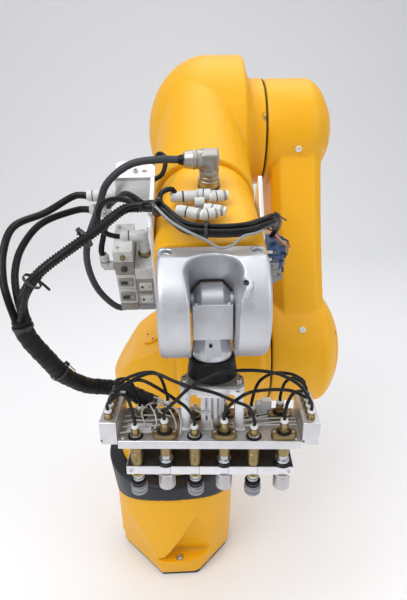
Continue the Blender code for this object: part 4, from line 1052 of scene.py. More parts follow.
class ARM_OT_base(bpy.types.Operator):
    """Cast the pedestal with its arched collar, foot and rear connector panel"""
    bl_idname = "arm.base"
    bl_label = "Build the base"

    def execute(self, context):
        body = turned([(.0063, .0828), (.0074, .084), (.0302, .084), (.032, .0865),
            (.176, .0885)], 128)
        facet = bmesh.new()
        bridge_loops(facet, [[facet.verts.new(corner) for corner in ((left, -.13, height),
            (.075, -.13, height), (.075, face, height), (left, face, height))] for height, left,
            face in ((.032, -.036, -.06), (.044, -.014, -.064), (.12, .034, -.08))])
        sides = []
        for facing, near, far, top in FOOT_FLATS:
            form = side_prism([(near, -.01), (far + (far - near) * .1, top * 1.1),
                (.2, top * 1.1), (.2, -.01)], -.1, .1)
            sides.append(moved(form, spin(facing - pi / 2, "Z")))
        pockets = [block((side * .0885 - .018, -.017, .02), (side * .0885 + .018, .017, .064),
            .003, 3) for side in (-1, 1)]
        hole = moved(drum(.0026, -.004, .02, sides=24), at(.0058, -.0755, .0305))
        casting("pedestal_casting", "base", body, "casting_paint",
            add=[block((-.043, 0.0, .024), (.043, .1165, .118), .003, 3)],
            keep_in=[front_prism(arch_outline(0.0), -.2, .2)], cut=[facet] + sides + pockets
            + [hole], voxel=settings().metal.voxel, smooth=4, replaces=("base_pedestal",))

        neck = turned([(.106, .0865), (.178, .095), (.1808, .094), (.182, .0915)], 128)
        under = front_prism(arch_outline(.0003), -.2, .2)
        seat = moved(drum(.0034, -.004, .01, sides=24), placed((-.0868, -.0285, .15))
            @ spin(-1.16, "Z") @ TO_FRONT)
        casting("collar_casting", "base", neck, "collar_paint", cut=[under, seat], voxel=.0018,
            smooth=3, replaces=("base_collar",))

        trim = Assembly("base")
        trim.add(prism(foot_outline(.081), 0.0, .006), "dark_plastic")
        trim.make("foot_plate", ("base_foot",))

        bolts = Assembly("base")
        ledge = at(.0058, -.0755, .0312)
        bolts.add(drum(.0056, 0.0, .001, .0002, 28), "bare_steel", ledge)
        bolts.screw(.0042, .004, ledge @ at(0, 0, .0008))
        for side in (-1, 1):
            floor = at(side * .0745, 0.0, .02)
            bolts.add(drum(.005, 0.0, .001, .0002, 28), "bare_steel", floor)
            bolts.screw(.0042, .0048, floor @ at(0, 0, .0008))
        bolts.make("pedestal_screws")

        panel = Assembly("base")
        panel.add(block((-.037, .1168, .03), (.037, .1198, .112), .0007), "dark_plastic")
        facing = spin(-pi / 2, "X")
        for x, z in ((-.033, .034), (.033, .034), (-.033, .108), (.033, .108)):
            panel.screw(.0022, .0018, at(x, .1197, z) @ facing)
        for side in (-1, 1):
            place = at(side * .021, .1197, .071) @ facing
            panel.add(block((-.0145, -.0145, 0.0), (.0145, .0145, .0024), .0006), "terminal_grey",
                place)
            panel.add(ring([(.002, .01), (.002, .015), (.008, .015), (.0088, .0142),
                (.0088, .0118), (.005, .0105)], 48), "plated_connector", place)
            panel.add(ring([(.003, .0095), (.003, .0108), (.0088, .0108), (.0088, .01)], 40),
                "dark_plastic", place)
            panel.add(drum(.0096, .001, .0055, .0003, 32), "terminal_grey", place)
            for i in range(12):
                angle = tau * i / 12
                reach = .0068 if i % 2 else .004
                panel.add(drum(.0006, .005, .008, .0002, 10), "nozzle_brass", place
                    @ at(*around(reach, angle), 0))
        panel.add(block((-.006, .1197, .036), (.006, .1215, .048), .0006), "terminal_grey")
        for x in (-.022, .022):
            panel.add(drum(.0028, 0.0, .005, .0004, 20), "nozzle_brass", at(x, .1197, .042)
                @ facing)
        panel.make("rear_panel", ("base_connector_panel",))
        return {"FINISHED"}


class ARM_OT_shoulder(bpy.types.Operator):
    """Cast the turning shoulder with its sloping roof, cross drum and cap"""
    bl_idname = "arm.shoulder"
    bl_label = "Build the shoulder"

    def execute(self, context):
        turret = turned([(-.1587, .0735), (-.157, .076), (-.1555, .0765), (.05, .0765)], 128)
        roof = front_prism([(-.1, -.18), (.1, -.18), (.1, .07), (.012, .07), (.012, .0458),
            (-.045, .0134), (-.1, -.0554)], -.1, .1)
        across = turned_across([(.012, .078), (.0135, .0803), (.017, .082), (.1167, .082),
            (.12, .0788), (.1218, .0762), (.1297, .076)])
        casting("shoulder_casting", "shoulder", turret, "shoulder_paint", keep_in=[roof],
            late=[across], voxel=settings().metal.voxel, smooth=2, replaces=("shoulder_housing",))
        pitch = atan2(.046 - .0134, .012 + .045)
        onto = at(-.045, 0.0, .0134) @ spin(-pitch, "Y") @ at(.034, -.022, 0)
        cap = Assembly("shoulder")
        cap.add(turned([(.0002, .0186), (.0006, .019), (.0024, .0188), (.0032, .0176),
            (.0033, .012), (.003, .0105), (.003, .004), (.0027, .0035)], 64), "shoulder_paint",
            onto)
        for i in range(3):
            angle = tau * i / 3 + .4
            cap.add(cap_screw(.0016, .001), "black_screw", onto @ at(*around(.0148, angle),
                .0028))
        cap.make("shoulder_cap_skin", ("shoulder_cap",))
        ring_line = Assembly("shoulder")
        ring_line.add(moved(ring([(.1293, .066), (.1293, .0755), (.1302, .0755), (.1302, .066)],
            96), ACROSS), "boot_rubber")
        ring_line.make("shoulder_seal")
        plugs = Assembly("shoulder")
        for angle in (.5, 1.6, 2.7, 3.8, 4.9, 6.0):
            place = (at(.1255, *around(.0761, angle)) @ spin(angle - pi / 2, "X"))
            plugs.add(cap_screw(.0017, .0009), "black_screw", place)
        plugs.make("shoulder_ring_screws")
        return {"FINISHED"}


# The plugs on the front of the upper arm's heads: how far across, the height of the
# head's middle, its radius and the angle above its front
PLUG_PLACES = [(.1701, UPPER_LENGTH, .0665, -.566), (.1695, 0.0, .077, .3942)]


def plug_place(across, middle, radius, angle):
    """The frame of a plug, with Z out of the head's round face."""
    return (at(across, -radius * cos(angle), middle + radius * sin(angle))
        @ spin(pi / 2 - angle, "X"))


def link_outline(lower, upper, length, waist, fine=40):
    """Side view of the upper arm in YZ: two round heads with a waist between them."""
    leave = radians(38.0)
    right = []
    for i in range(fine + 1):
        angle = -pi / 2 + (pi / 2 + leave) * i / fine
        right.append(around(lower, angle))
    start = Vector(right[-1])
    end = Vector((upper * cos(leave), length - upper * sin(leave)))
    pull = Vector((waist, length / 2)) * 2 - (start + end) / 2
    for i in range(1, 24):
        t = i / 24
        point = start * (1 - t) ** 2 + pull * 2 * t * (1 - t) + end * t * t
        right.append((point.x, point.y))
    for i in range(fine + 1):
        angle = -leave + (pi / 2 + leave) * i / fine
        right.append((upper * cos(angle), length + upper * sin(angle)))
    return right + [(-y, z) for y, z in reversed(right[1:-1])]


class ARM_OT_upper_arm(bpy.types.Operator):
    """Cast the upper arm: a bevelled beam between two turned heads, and their covers"""
    bl_idname = "arm.upper_arm"
    bl_label = "Build the upper arm"

    def execute(self, context):
        beam = side_prism(link_outline(.0755, .065, UPPER_LENGTH, .05), .1383, .203)
        form = bevelled(beam, .015, 1, 60.0)
        heads = []
        for height, profile in ((0.0, [(.1303, .0755), (.1375, .0768), (.1395, .077), (.2, .077),
                (.206, .0725), (.212, .0655), (.2165, .058)]), (UPPER_LENGTH,
                [(.1303, .065), (.1375, .0663), (.1395, .0665), (.188, .0665), (.196, .0625),
                (.204, .0552), (.2095, .047)])):
            heads.append(turned_across(profile, 96, (0.0, 0.0, height)))
        plugs = [moved(drum(.003, -.003, .01, sides=20), plug_place(*place))
            for place in PLUG_PLACES]
        casting("upper_arm_casting", "upper_arm", form, "casting_paint", late=heads, cut=plugs,
            voxel=settings().metal.voxel * 1.05, smooth=2, replaces=("upper_arm",))
        for name, node, height, outline in (("lower_cover", "arm_lower_cover", 0.0,
                [(.2166, .053), (.2172, .054), (.219, .0534), (.2206, .0495), (.2222, .0462),
                (.2246, .04), (.2256, .0335), (.2258, .03), (.2258, .012), (.2252, .0112),
                (.2252, .004)]), ("upper_cover", "arm_upper_cover", UPPER_LENGTH,
                [(.2096, .0422), (.2102, .043), (.212, .0424), (.2135, .0395), (.215, .0366),
                (.2176, .031), (.2186, .0267), (.2188, .024), (.2188, .01), (.2182, .0093),
                (.2182, .0035)])):
            cover = Assembly("upper_arm")
            cover.add(turned_across(outline, 96, (0.0, 0.0, height)), "casting_paint")
            radius = outline[1][1] - .0035
            for i in range(6):
                angle = tau * i / 6 + .3
                place = (at(outline[2][0] - .0012, radius * cos(angle), height + radius
                    * sin(angle)) @ ACROSS)
                cover.screw(.0019, .0016, place)
            cover.make(name, (node,))
        pins = Assembly("upper_arm")
        for place in PLUG_PLACES:
            pins.add(turned([(-.0028, .0028), (.0004, .0042), (.0014, .0034), (.0012, .0014),
                (.0006, .0008)], 24), "collet_white", plug_place(*place))
        place = at(.204, -.04, .255) @ ACROSS
        pins.add(drum(.0016, -.002, .0022, .0004, 16), "collet_white", place)
        pins.make("arm_plugs")
        return {"FINISHED"}


class ARM_OT_elbow(bpy.types.Operator):
    """Cast the elbow: a domed drum across, with the root of the forearm in front"""
    bl_idname = "arm.elbow"
    bl_label = "Build the elbow"

    def execute(self, context):
        profile = []
        for i in range(25):
            angle = pi / 2 * (.04 + .96 * i / 24)
            profile.append((.06 - .0778 * cos(angle), .094 * sin(angle)))
        profile += [(.1, .094), (.1025, .0925), (.11, .0695), (.1112, .0675), (.113, .067),
            (.1297, .067)]
        across = turned_across(profile, 112)
        root = bmesh.new()
        loops = []
        for y, wide, high in ((0.0, .0555, .093), (-.154, .056, .056), (-.162, .056, .056)):
            loops.append([root.verts.new((ARM_OFFSET + wide * cos(tau * i / 96), y, high
                * sin(tau * i / 96))) for i in range(96)])
        bridge_loops(root, loops)
        casting("elbow_casting", "elbow", across, "elbow_paint", add=[root],
            voxel=settings().metal.voxel, smooth=2, replaces=("elbow_housing",))
        seal = Assembly("elbow")
        seal.add(moved(ring([(.1293, .056), (.1293, .0664), (.1302, .0664), (.1302, .056)], 96),
            ACROSS), "boot_rubber")
        seal.make("elbow_seal")
        return {"FINISHED"}


class ARM_OT_forearm_tube(bpy.types.Operator):
    """Cast the rolling front of the forearm, round behind and square in front"""
    bl_idname = "arm.forearm_tube"
    bl_label = "Build the forearm's tube"

    def execute(self, context):
        form = bmesh.new()
        loops = []
        for i in range(33):
            share = i / 32
            wide = .0505
            high = .0505 - .0055 * share
            full = high - .000001
            corner = full + (.016 - full) * share ** .6
            y = -.1623 - (.287 - .1623) * share
            loops.append([form.verts.new((x, y, z)) for x, z in oval(wide, high, 64, corner)])
        bridge_loops(form, loops)
        pocket = block((-.0415, -.31, -.036), (.0415, -.2433, .036), 0.0)
        casting("forearm_tube_casting", "forearm", form, "casting_paint", cut=[pocket],
            voxel=settings().metal.voxel * .85, smooth=3, replaces=("forearm_tube",))
        return {"FINISHED"}


# The open bowl between the cheeks, level by level: height, half width, place of the
# back wall, depth of its rounded corners and how square they are
BOWL_LEVELS = [(-.002, .0195, .0108, .008, 3.0), (.012, .0195, .0106, .009, 3.0),
    (.022, .0197, .01, .012, 2.7), (.03, .0202, .0092, .015, 2.5), (.038, .0212, .008, .019, 2.3),
    (.0445, .0228, .0065, .022, 2.1), (.048, .0246, .0055, .024, 2.0),
    (.056, .029, .008, .027, 2.0)]


def bowl_form():
    """The space that the bowl takes out of the fork, open to the front."""
    form = bmesh.new()
    loops = []
    for height, wide, back, depth, square in BOWL_LEVELS:
        points = [(wide, -.08)]
        for i in range(41):
            angle = pi * i / 40
            across, along = cos(angle), max(0.0, sin(angle))
            points.append((copysign(wide * abs(across) ** (2 / square), across), back - depth
                + depth * along ** (2 / square)))
        points.append((-wide, -.08))
        loops.append([form.verts.new((x, y, height)) for x, y in points])
    return bridge_loops(form, loops)


class ARM_OT_fork(bpy.types.Operator):
    """Cast the wrist fork with its cheeks, arched throat, screws and oil plug"""
    bl_idname = "arm.fork"
    bl_label = "Build the wrist fork"

    def execute(self, context):
        outline = [(.0227, -.044), (.0227, .044)]
        for i in range(65):
            angle = pi / 2 + pi * i / 64
            outline.append(around(.051, angle))
        body = side_prism(outline, -.0465, .0465)
        form = bevelled(body, .0042, 4, 40.0)
        cuts = [turned_across([(-.0197, .0075), (-.01, .0182), (.01, .0182), (.0197, .0075)], 96),
            block((-.0195, -.08, -.08), (.0195, .042, .0034), 0.0), bowl_form()]
        for x, side in ((-.0385, -1), (.039, 1)):
            cuts.append(moved(drum(.0054, .039, .06, sides=32), at(x, .011, 0.0)))
            cuts.append(block((min(x, side * .06), .0062, .039), (max(x, side * .06), .0158, .06),
                0.0))
        for x in (-.04, .04):
            cuts.append(moved(drum(.0024, 0.0, .02, sides=20), at(x, .013, .03)))
        boss = moved(turned([(.036, .007), (.0475, .0062), (.0486, .0054)], 40),
            at(.0245, -.0235, 0.0) @ spin(.12, "X"))
        ridge = moved(block((-.004, -.0125, .036), (.004, 0.0, .0462), .0015),
            at(.0235, -.012, 0.0) @ spin(-.5, "Z"))
        casting("fork_casting", "front", form, "fork_aluminium",
            late=[boss, ridge, block((-.0412, .018, -.0357), (.0412, .0664, .0357), .002)],
            cut=cuts, voxel=.00105, smooth=3, replaces=("wrist_fork",))
        trim = Assembly("front")
        for x in (-.0385, .039):
            place = at(x, .011, .0389)
            trim.add(drum(.0044, 0.0, .0006, .0002, 24), "bare_steel", place)
            trim.screw(.0036, .0044, place @ at(0, 0, .0005))
        plug = at(.0245, -.0291, .0482) @ spin(.12, "X")
        trim.add(cap_screw(.0023, .0012), "black_screw", plug)
        for side in (-1, 1):
            hub = at(side * .0462, 0.0, 0.0) @ (ACROSS if side > 0 else ACROSS @ spin(pi, "X"))
            trim.add(turned([(0.0, .03), (.001, .03), (.0016, .0292), (.0016, .012),
                (.001, .0112), (.001, .003)], 64), "turned_aluminium", hub @ at(0, 0, -.0002))
            for i in range(4):
                angle = tau * i / 4 + pi / 4
                trim.screw(.0018, .0011, hub @ at(*around(.0245, angle), .001))
        trim.make("fork_trim")
        return {"FINISHED"}


class ARM_OT_wrist(bpy.types.Operator):
    """Build the faceted wrist: domed hub, block and eight-sided neck"""
    bl_idname = "arm.wrist"
    bl_label = "Build the wrist"

    def execute(self, context):
        hub = [(-.0162, .008), (-.0158, .0088), (-.01, .016), (-.0092, .0165)]
        hub += [(-x, r) for x, r in reversed(hub)]
        throat = turned([(-.048, .0182 / cos(pi / 8)), (-.0295, .015 / cos(pi / 8))], 8)
        moved(throat, spin(pi / 8, "Z"))
        item = Assembly("wrist")
        item.add(turned_across(hub, 96), "turned_aluminium")
        item.add(moved(drum(.0074, -.0192, .0192, .0004, 48), ACROSS), "turned_aluminium")
        item.add(block((-.0176, -.019, -.031), (.0176, .019, .002), .0009, 3), "fork_aluminium")
        item.add(throat, "turned_aluminium")
        item.add(turned([(-.0545, .0178), (-.0541, .0182), (-.047, .0182), (-.0465, .0179)], 96),
            "turned_aluminium")
        for x in (-.0146, .0146):
            for y in (-.016, .016):
                item.screw(.0022, .0018, at(x, y, .0019))
        item.add(cap_screw(.0016, .0012), "black_screw", at(-.002, -.0168, -.0375)
            @ spin(pi / 2 + .16, "X"))
        item.make("wrist_skin", ("wrist_body",), sharp=30.0)
        return {"FINISHED"}


# ---- Forearm fittings -----------------------------------------------------------------

def knurled(radius, low, high, teeth=36, depth=.0003, edge=.0004):
    """A round grip along Z with straight knurling."""
    outline = []
    for i in range(teeth * 2):
        reach = radius - (depth if i % 2 else 0.0)
        angle = tau * i / (teeth * 2)
        outline.append(around(reach, angle))
    form = bmesh.new()
    loops = []
    for height, share in ((low, 1 - edge / radius), (low + edge, 1.0), (high - edge, 1.0),
            (high, 1 - edge / radius)):
        loops.append([form.verts.new((x * share, y * share, height)) for x, y in outline])
    return bridge_loops(form, loops)


def push_fitting(item, place, radius, length, body="fitting_white", release="collet_white",
        hole=.55):
    """A push-in fitting along Z from its place: body, bead, release ring and dark mouth."""
    item.add(turned([(0.0, radius * .86), (.0006, radius), (length * .46, radius),
        (length * .5, radius * .93), (length * .56, radius * .93), (length * .6, radius),
        (length - .0026, radius), (length - .0018, radius * .94)], 32), body, place)
    item.add(ring([(length - .0022, radius * hole), (length - .0022, radius * .8),
        (length, radius * .86), (length + .0006, radius * .78), (length + .0006, radius * hole)],
        32), release, place)
    item.add(ring([(length * .5, radius * .9), (length * .5, radius * .97),
        (length * .56, radius * .97), (length * .56, radius * .9)], 32), "dark_plastic", place)


def toward(start, end):
    """A place at start whose Z points to end."""
    start, end = Vector(start), Vector(end)
    return (Matrix.Translation(start) @ (end - start).to_track_quat("Z",
        "Y").to_matrix().to_4x4())


class ARM_OT_connector(bpy.types.Operator):
    """Build the plated right-angle connector on the forearm's back"""
    bl_idname = "arm.connector"
    bl_label = "Build the connector"

    def execute(self, context):
        item = Assembly("front")
        stem = at(.002, .106, 0.0)
        item.add(turned([(.0494, .0105), (.05, .0108), (.0512, .0108), (.0518, .0101)], 48),
            "dark_plastic", stem)
        item.add(knurled(.0104, .0518, .059, 30), "plated_connector", stem)
        item.add(turned([(.059, .0088), (.0594, .0092), (.0622, .0092), (.0628, .0084),
            (.064, .0084), (.0646, .0094), (.0688, .0095), (.0694, .0092)], 48),
            "plated_connector", stem)
        corner = (.002, .106, .0779)
        bend = [(.002, .106, .0685), (.002, .106, .072), (.0012, .106, .0752),
            (-.001, .106, .0772), (-.0045, .106, .0779), (-.008, .106, .0779)]
        item.add(tube([Vector(p) for p in curve_points(bend, .0008)], .0088, 36),
            "plated_connector")
        item.add(block((-.006, .0985, .0702), (.0108, .1135, .0862), .0028, 4),
            "plated_connector")
        item.add(drum(.0042, 0.0, .001, .0003, 28), "bare_steel", at(.0106, .106, .078) @ ACROSS)
        arm = toward(corner, (-.1, .106, .0779))
        item.add(turned([(.006, .008), (.0074, .009), (.011, .009), (.0114, .0084),
            (.0124, .0084)], 48), "plated_connector", arm)
        item.add(knurled(.0091, .0124, .0152, 28), "plated_connector", arm)
        item.add(turned([(.0152, .0088), (.0228, .0078), (.0238, .0066), (.024, .0038)], 48),
            "plated_connector", arm)
        item.add(turned([(.0236, .005), (.025, .0049), (.0285, .0041), (.029, .0037)], 32),
            "boot_rubber", arm)
        item.make("connector_skin", ("user_connector",))
        return {"FINISHED"}


class ARM_OT_left_bracket(bpy.types.Operator):
    """Build the bent sheet bracket, its two valve stacks and their elbow fittings"""
    bl_idname = "arm.left_bracket"
    bl_label = "Build the left bracket"

    def execute(self, context):
        sheet = Assembly("front")
        sheet.add(side_prism([(.048, -.078), (.122, -.078), (.122, .053), (.056, .053),
            (.048, .045)], -.0548, -.0508, .0005), "bracket_aluminium")
        wing = [(-.0905, .118), (-.0508, .118), (-.0508, .15), (-.0865, .15), (-.0905, .146)]
        sheet.add(cut_from(prism(wing, .049, .053, .0005), [moved(
            drum(.003, .045, .056, sides=28), at(x, .129, 0)) for x in (-.061, -.0825)]),
            "bracket_aluminium")
        sheet.add(block((-.0905, .118, .025), (-.0508, .122, .0528), .0006), "bracket_aluminium")
        for y, z in ((.056, .036), (.114, .036), (.056, -.01)):
            sheet.screw(.0027, .0022, at(-.0548, y, z) @ spin(-pi / 2, "Y"))
        sheet.screw(.003, .0024, at(-.07, .129, .053))
        sheet.make("bracket_sheet", ("left_bracket",), sharp=30.0)

        right = Assembly("front")
        x0, x1, y0, y1 = -.0741, -.0551, .06, .105
        for low, high, look in ((-.076, -.068, "terminal_grey"), (-.0677, -.05, "valve_beige"),
                (-.0489, -.0305, "valve_grey"), (-.0302, -.016, "fitting_white")):
            right.add(block((x0, y0, low), (x1, y1, high), .0008), look)
        for z in (-.0585, -.04):
            right.add(block((x0 + .003, y0 - .0012, z - .0052), (x1 - .003, y0 + .002, z + .0052),
                .0006), "fitting_white")
            right.add(drum(.0013, 0.0, .0012, .0003, 16), "dark_plastic",
                at(x0 + .006, y0 - .0011, z) @ TO_FRONT)
            right.screw(.0013, .001, at(x1 - .0055, y0 - .0011, z) @ TO_FRONT)
        for x, y in ((x0 + .004, y0 + .006), (x1 - .004, y1 - .006)):
            right.screw(.0016, .0014, at(x, y, -.0161))
        right.make("valve_stack_right", ("valve_block_right",))

        left = Assembly("front")
        x0, x1 = -.0934, -.0744
        for low, high, look in ((-.076, -.0655, "valve_grey"), (-.0652, -.043, "fitting_white"),
                (-.0427, -.0235, "fitting_white"), (-.0232, -.0068, "valve_grey"),
                (-.0065, .007, "fitting_white")):
            left.add(block((x0, y0, low), (x1, y1, high), .0009), look)
        for z, size in ((-.054, .0062), (-.033, .0055)):
            left.add(block((x0 + .002, y0 - .0016, z - size), (x1 - .002, y0 + .002, z + size),
                .0008), "valve_grey")
            left.add(block((x0 + .004, y0 - .0024, z - size * .4),
                (x0 + .011, y0 - .001, z + size * .4), .0004), "dark_plastic")
            left.screw(.0014, .001, at(x1 - .0045, y0 - .0015, z) @ TO_FRONT)
        left.add(drum(.0034, 0.0, .002, .0004, 28), "dark_plastic", at((x0 + x1) / 2, y0, -.015)
            @ TO_FRONT)
        left.add(drum(.0026, 0.0, .003, .0004, 28), "nozzle_brass", at((x0 + x1) / 2, y0, .0002)
            @ TO_FRONT)
        for y in (.0665, .0985):
            left.screw(.0016, .0014, at(x0 + .0045, y, .0069))
        left.make("valve_stack_left", ("valve_block_left",))

        elbow = Assembly("front")
        stem = at(-.0646, .0825, 0.0)
        elbow.add(hexagon(.0068, -.0157, -.01), "nozzle_brass", stem)
        elbow.add(turned([(-.01, .0052), (-.003, .0052), (-.0024, .0046), (-.0014, .0046),
            (-.0008, .0054), (.005, .0054), (.0085, .0056), (.0115, .0054), (.0136, .004)], 36),
            "fitting_white", stem)
        elbow.add(drum(.0058, -.003, .006, .0008, 36), "fitting_white",
            toward((-.0646, .0825, .0085), (-.1, .0825, .0085)))
        push_fitting(elbow, toward((-.069, .0825, .0085), (-.1, .0825, .0085)), .0058, .017)
        elbow.make("valve_elbow_skin", ("valve_elbow_fitting",))

        side = Assembly("front")
        port = toward((-.0937, .0825, -.03), (-.12, .0825, -.03))
        side.add(hexagon(.0062, 0.0, .004), "nozzle_brass", port)
        side.add(drum(.005, .004, .015, .0008, 36), "fitting_white", port)
        push_fitting(side, at(-.1067, .0825, -.031), .005, .016)
        side.make("side_elbow_skin", ("side_elbow_fitting",))
        return {"FINISHED"}


class ARM_OT_right_bracket(bpy.types.Operator):
    """Build the pointed sheet bracket with its terminals and plugs"""
    bl_idname = "arm.right_bracket"
    bl_label = "Build the right bracket"

    def execute(self, context):
        outline = [(.064, -.08), (.12, -.08), (.12, .03), (.115, .054), (.113, .054),
            (.064, .018)]
        sheet = Assembly("front")
        sheet.add(cut_from(side_prism(outline, .0508, .0548, .0005),
            [moved(drum(radius, -.01, .01, sides=28), at(.0528, y, z) @ ACROSS) for y, z,
            radius in ((.1, .02, .0032), (.08, .012, .0022))]), "bracket_aluminium")
        for y, z in ((.074, -.07), (.112, -.07), (.112, .004)):
            sheet.screw(.0027, .0022, at(.0547, y, z) @ ACROSS)
        sheet.make("gusset_sheet", ("right_bracket",), sharp=30.0)

        row = Assembly("front")
        row.add(block((.0551, .09, -.069), (.059, .112, -.012), .0005), "terminal_grey")
        for i in range(5):
            low = -.069 + .0106 * i
            look = "terminal_blue" if i > 2 else "terminal_grey"
            row.add(block((.0588, .089, low), (.079, .113, low + .0098), .0007), look)
            row.add(block((.0788, .092, low + .0012), (.084, .11, low + .0086), .0006),
                "terminal_blue" if i > 1 else "terminal_grey")
            for y in (.095, .101, .107):
                row.add(block((.0838, y - .0019, low + .002), (.0866, y + .0019, low + .0078),
                    .0005), "dark_plastic" if i % 2 else "valve_grey")
            row.add(block((.062, .088, low + .003), (.07, .0895, low + .0066), .0003),
                "collet_white")
            row.add(drum(.0013, 0.0, .0014, .0002, 16), "nozzle_brass",
                at(.072, .089, low + .0049) @ TO_FRONT)
        row.make("terminal_skin", ("terminal_row",))

        generator = random.Random(11)
        for i in range(6):
            y = .094 + .003 * i
            sway = generator.uniform(-.003, .003)
            low = -.024 - .008 * (i % 3)
            knots = [(.07 + .0006 * i, .086 + .0016 * i, .002), (.076 + sway * .6, .088 + .0015
                * i, -.006), (.083 + sway, .09 + .0015 * i, -.014 + sway), (.089, y, low + .006),
                (.0862, y, low)]
            lay_cord(f"terminal_wire_{i + 1}", "front", knots, .0009,
                ("wire_orange", "wire_white", "cable_grey")[i % 3], sides=8,
                step=.0012)
        return {"FINISHED"}


class ARM_OT_fittings(bpy.types.Operator):
    """Build the stacked tees on the wing and the rows of fittings over the fork"""
    bl_idname = "arm.fittings"
    bl_label = "Build the fittings"

    def execute(self, context):
        tee = Assembly("front")
        middle = (-.1053, .12, 0.0)
        for z, right in ((.0315, -.0908), (.0145, -.0993)):
            centre = (middle[0], middle[1], z)
            tee.add(drum(.0058, -.0065, .0065, .0008, 36), "fitting_white", at(*centre) @ ACROSS)
            push_fitting(tee, toward((-.1085, .12, z), (-.2, .12, z)), .006, .0113)
            tee.add(drum(.0054, 0.0, abs(middle[0] - right) - .0003, .0008, 36), "fitting_white",
                toward(centre, (0.0, .12, z)))
        tee.add(turned([(.006, .0048), (.0066, .0054), (.03, .0054), (.032, .005)], 36),
            "fitting_white", at(-.1053, .12, 0))
        tee.add(ring([(.0215, .005), (.0215, .006), (.0245, .006), (.0245, .005)], 36),
            "terminal_grey", at(-.1053, .12, 0))
        tee.add(ring([(.006, .003), (.006, .0046), (.0078, .0048), (.0078, .003)], 32),
            "collet_white", at(-.1053, .12, 0))
        tee.screw(.0028, .002, at(-.101, .1145, .0315) @ TO_FRONT)
        tee.screw(.0022, .0016, at(-.104, .1146, .0145) @ TO_FRONT)
        tee.make("tee_skin", ("hose_tee",))

        row = Assembly("front")
        bodies = ((-.0343, .0775, .0564, .06, .0052, .0235), (-.0105, .0805, .057, -.1, .0054,
            .013), (.001, .076, .0564, .2, .0055, .013), (-.0287, .0575, .0564, -.36, .0052, .02),
            (-.008, .05, .0556, .22, .0052, .0125), (-.004, .059, .0566, -.3, .005, .015))
        for x, y, z, turn, size, length in bodies:
            along = at(x, y, z) @ spin(turn, "Z") @ ACROSS
            push_fitting(row, along @ at(0, 0, length) @ spin(pi, "X"), size, length)
            row.add(hexagon(size * .98, length, length + .0026, .0004), "valve_grey", along)
            row.add(ring([(length + .0024, size * .45), (length + .0024, size * .86),
                (length + .0044, size * .8), (length + .0046, size * .45)], 28), "collet_white",
                along)
        row.add(block((-.013, .0555, .048), (-.007, .0755, .056), .0008), "valve_grey")
        row.add(drum(.0042, -.013, -.004, .0006, 32), "fitting_white", at(0, .0655, .059)
            @ ACROSS)
        row.make("cluster_skin", ("fitting_row",))
        return {"FINISHED"}


# ---- Tool -----------------------------------------------------------------------------

class ARM_OT_tool_mount(bpy.types.Operator):
    """Build the dark collar, the screwed ring plate and the slotted bridge"""
    bl_idname = "arm.tool_mount"
    bl_label = "Build the tool's mount"

    def execute(self, context):
        collar = Assembly("tool")
        collar.add(turned([(-.0735, .023), (-.0731, .0234), (-.069, .0233), (-.063, .0222),
            (-.058, .0218), (-.0556, .0214), (-.0549, .0208)], 96), "boot_rubber")
        collar.make("collar_boot", ("tool_collar",))

        flange = Assembly("tool")
        half_x, half_y, cut, rear = .0292, .0262, .0055, .0232
        outline = [(-half_x, -.0085), (-half_x, -half_y + cut), (-half_x + cut, -half_y),
            (half_x - cut, -half_y), (half_x, -half_y + cut), (half_x, -.0085)]
        outline += [around(rear, pi * i / 24) for i in range(25)]
        flange.add(prism(outline, -.0768, -.0738, .0005), "grimy_plate")
        for side in (-1, 1):
            place = at(side * .0245, -.019, -.0738)
            flange.add(drum(.0034, 0.0, .0006, .0001, 24), "bare_steel", place)
            flange.screw(.0026, .0024, place @ at(0, 0, .0005))
        for x, y in ((0.0, -.025), (.0265, -.0085), (-.0265, -.0085)):
            flange.add(drum(.0014, 0.0, .0003, .0001, 16), "dark_plastic", at(x, y, -.0739))
        flange.make("ring_plate_skin", ("ring_plate",), sharp=30.0)

        bridge = Assembly("tool")
        bar = block((-.0298, -.014, -.0934), (.0298, -.004, -.0771), .0008)
        bridge.add(cut_from(bar, [block((x - .003, -.02, -.0955), (x + .003, .02, -.0905), 0.0)
            for x in (-.0175, .0175)]), "plate_aluminium")
        post = block((-.011, -.012, -.132), (.011, .003, -.093), .0006)
        bridge.add(cut_from(post, [block((x - .0011, -.014, -.12), (x + .0011, -.006, -.095), 0.0)
            for x in (-.0056, 0.0, .0056)]), "plate_aluminium")
        for x in (-.0256, .0256):
            bridge.add(block((x - .0042, -.012, -.132), (x + .0042, .003, -.093), .0006),
                "plate_aluminium")
        for x in (-.0238, .0238):
            bridge.screw(.0022, .0018, at(x, -.0139, -.085) @ TO_FRONT)
        for x in (-.0256, .0256):
            bridge.add(block((x - .006, -.0135, -.1322), (x + .006, .005, -.13), .0005),
                "plate_aluminium")
        bridge.make("bridge_skin", ("tool_bridge",), sharp=30.0)
        return {"FINISHED"}


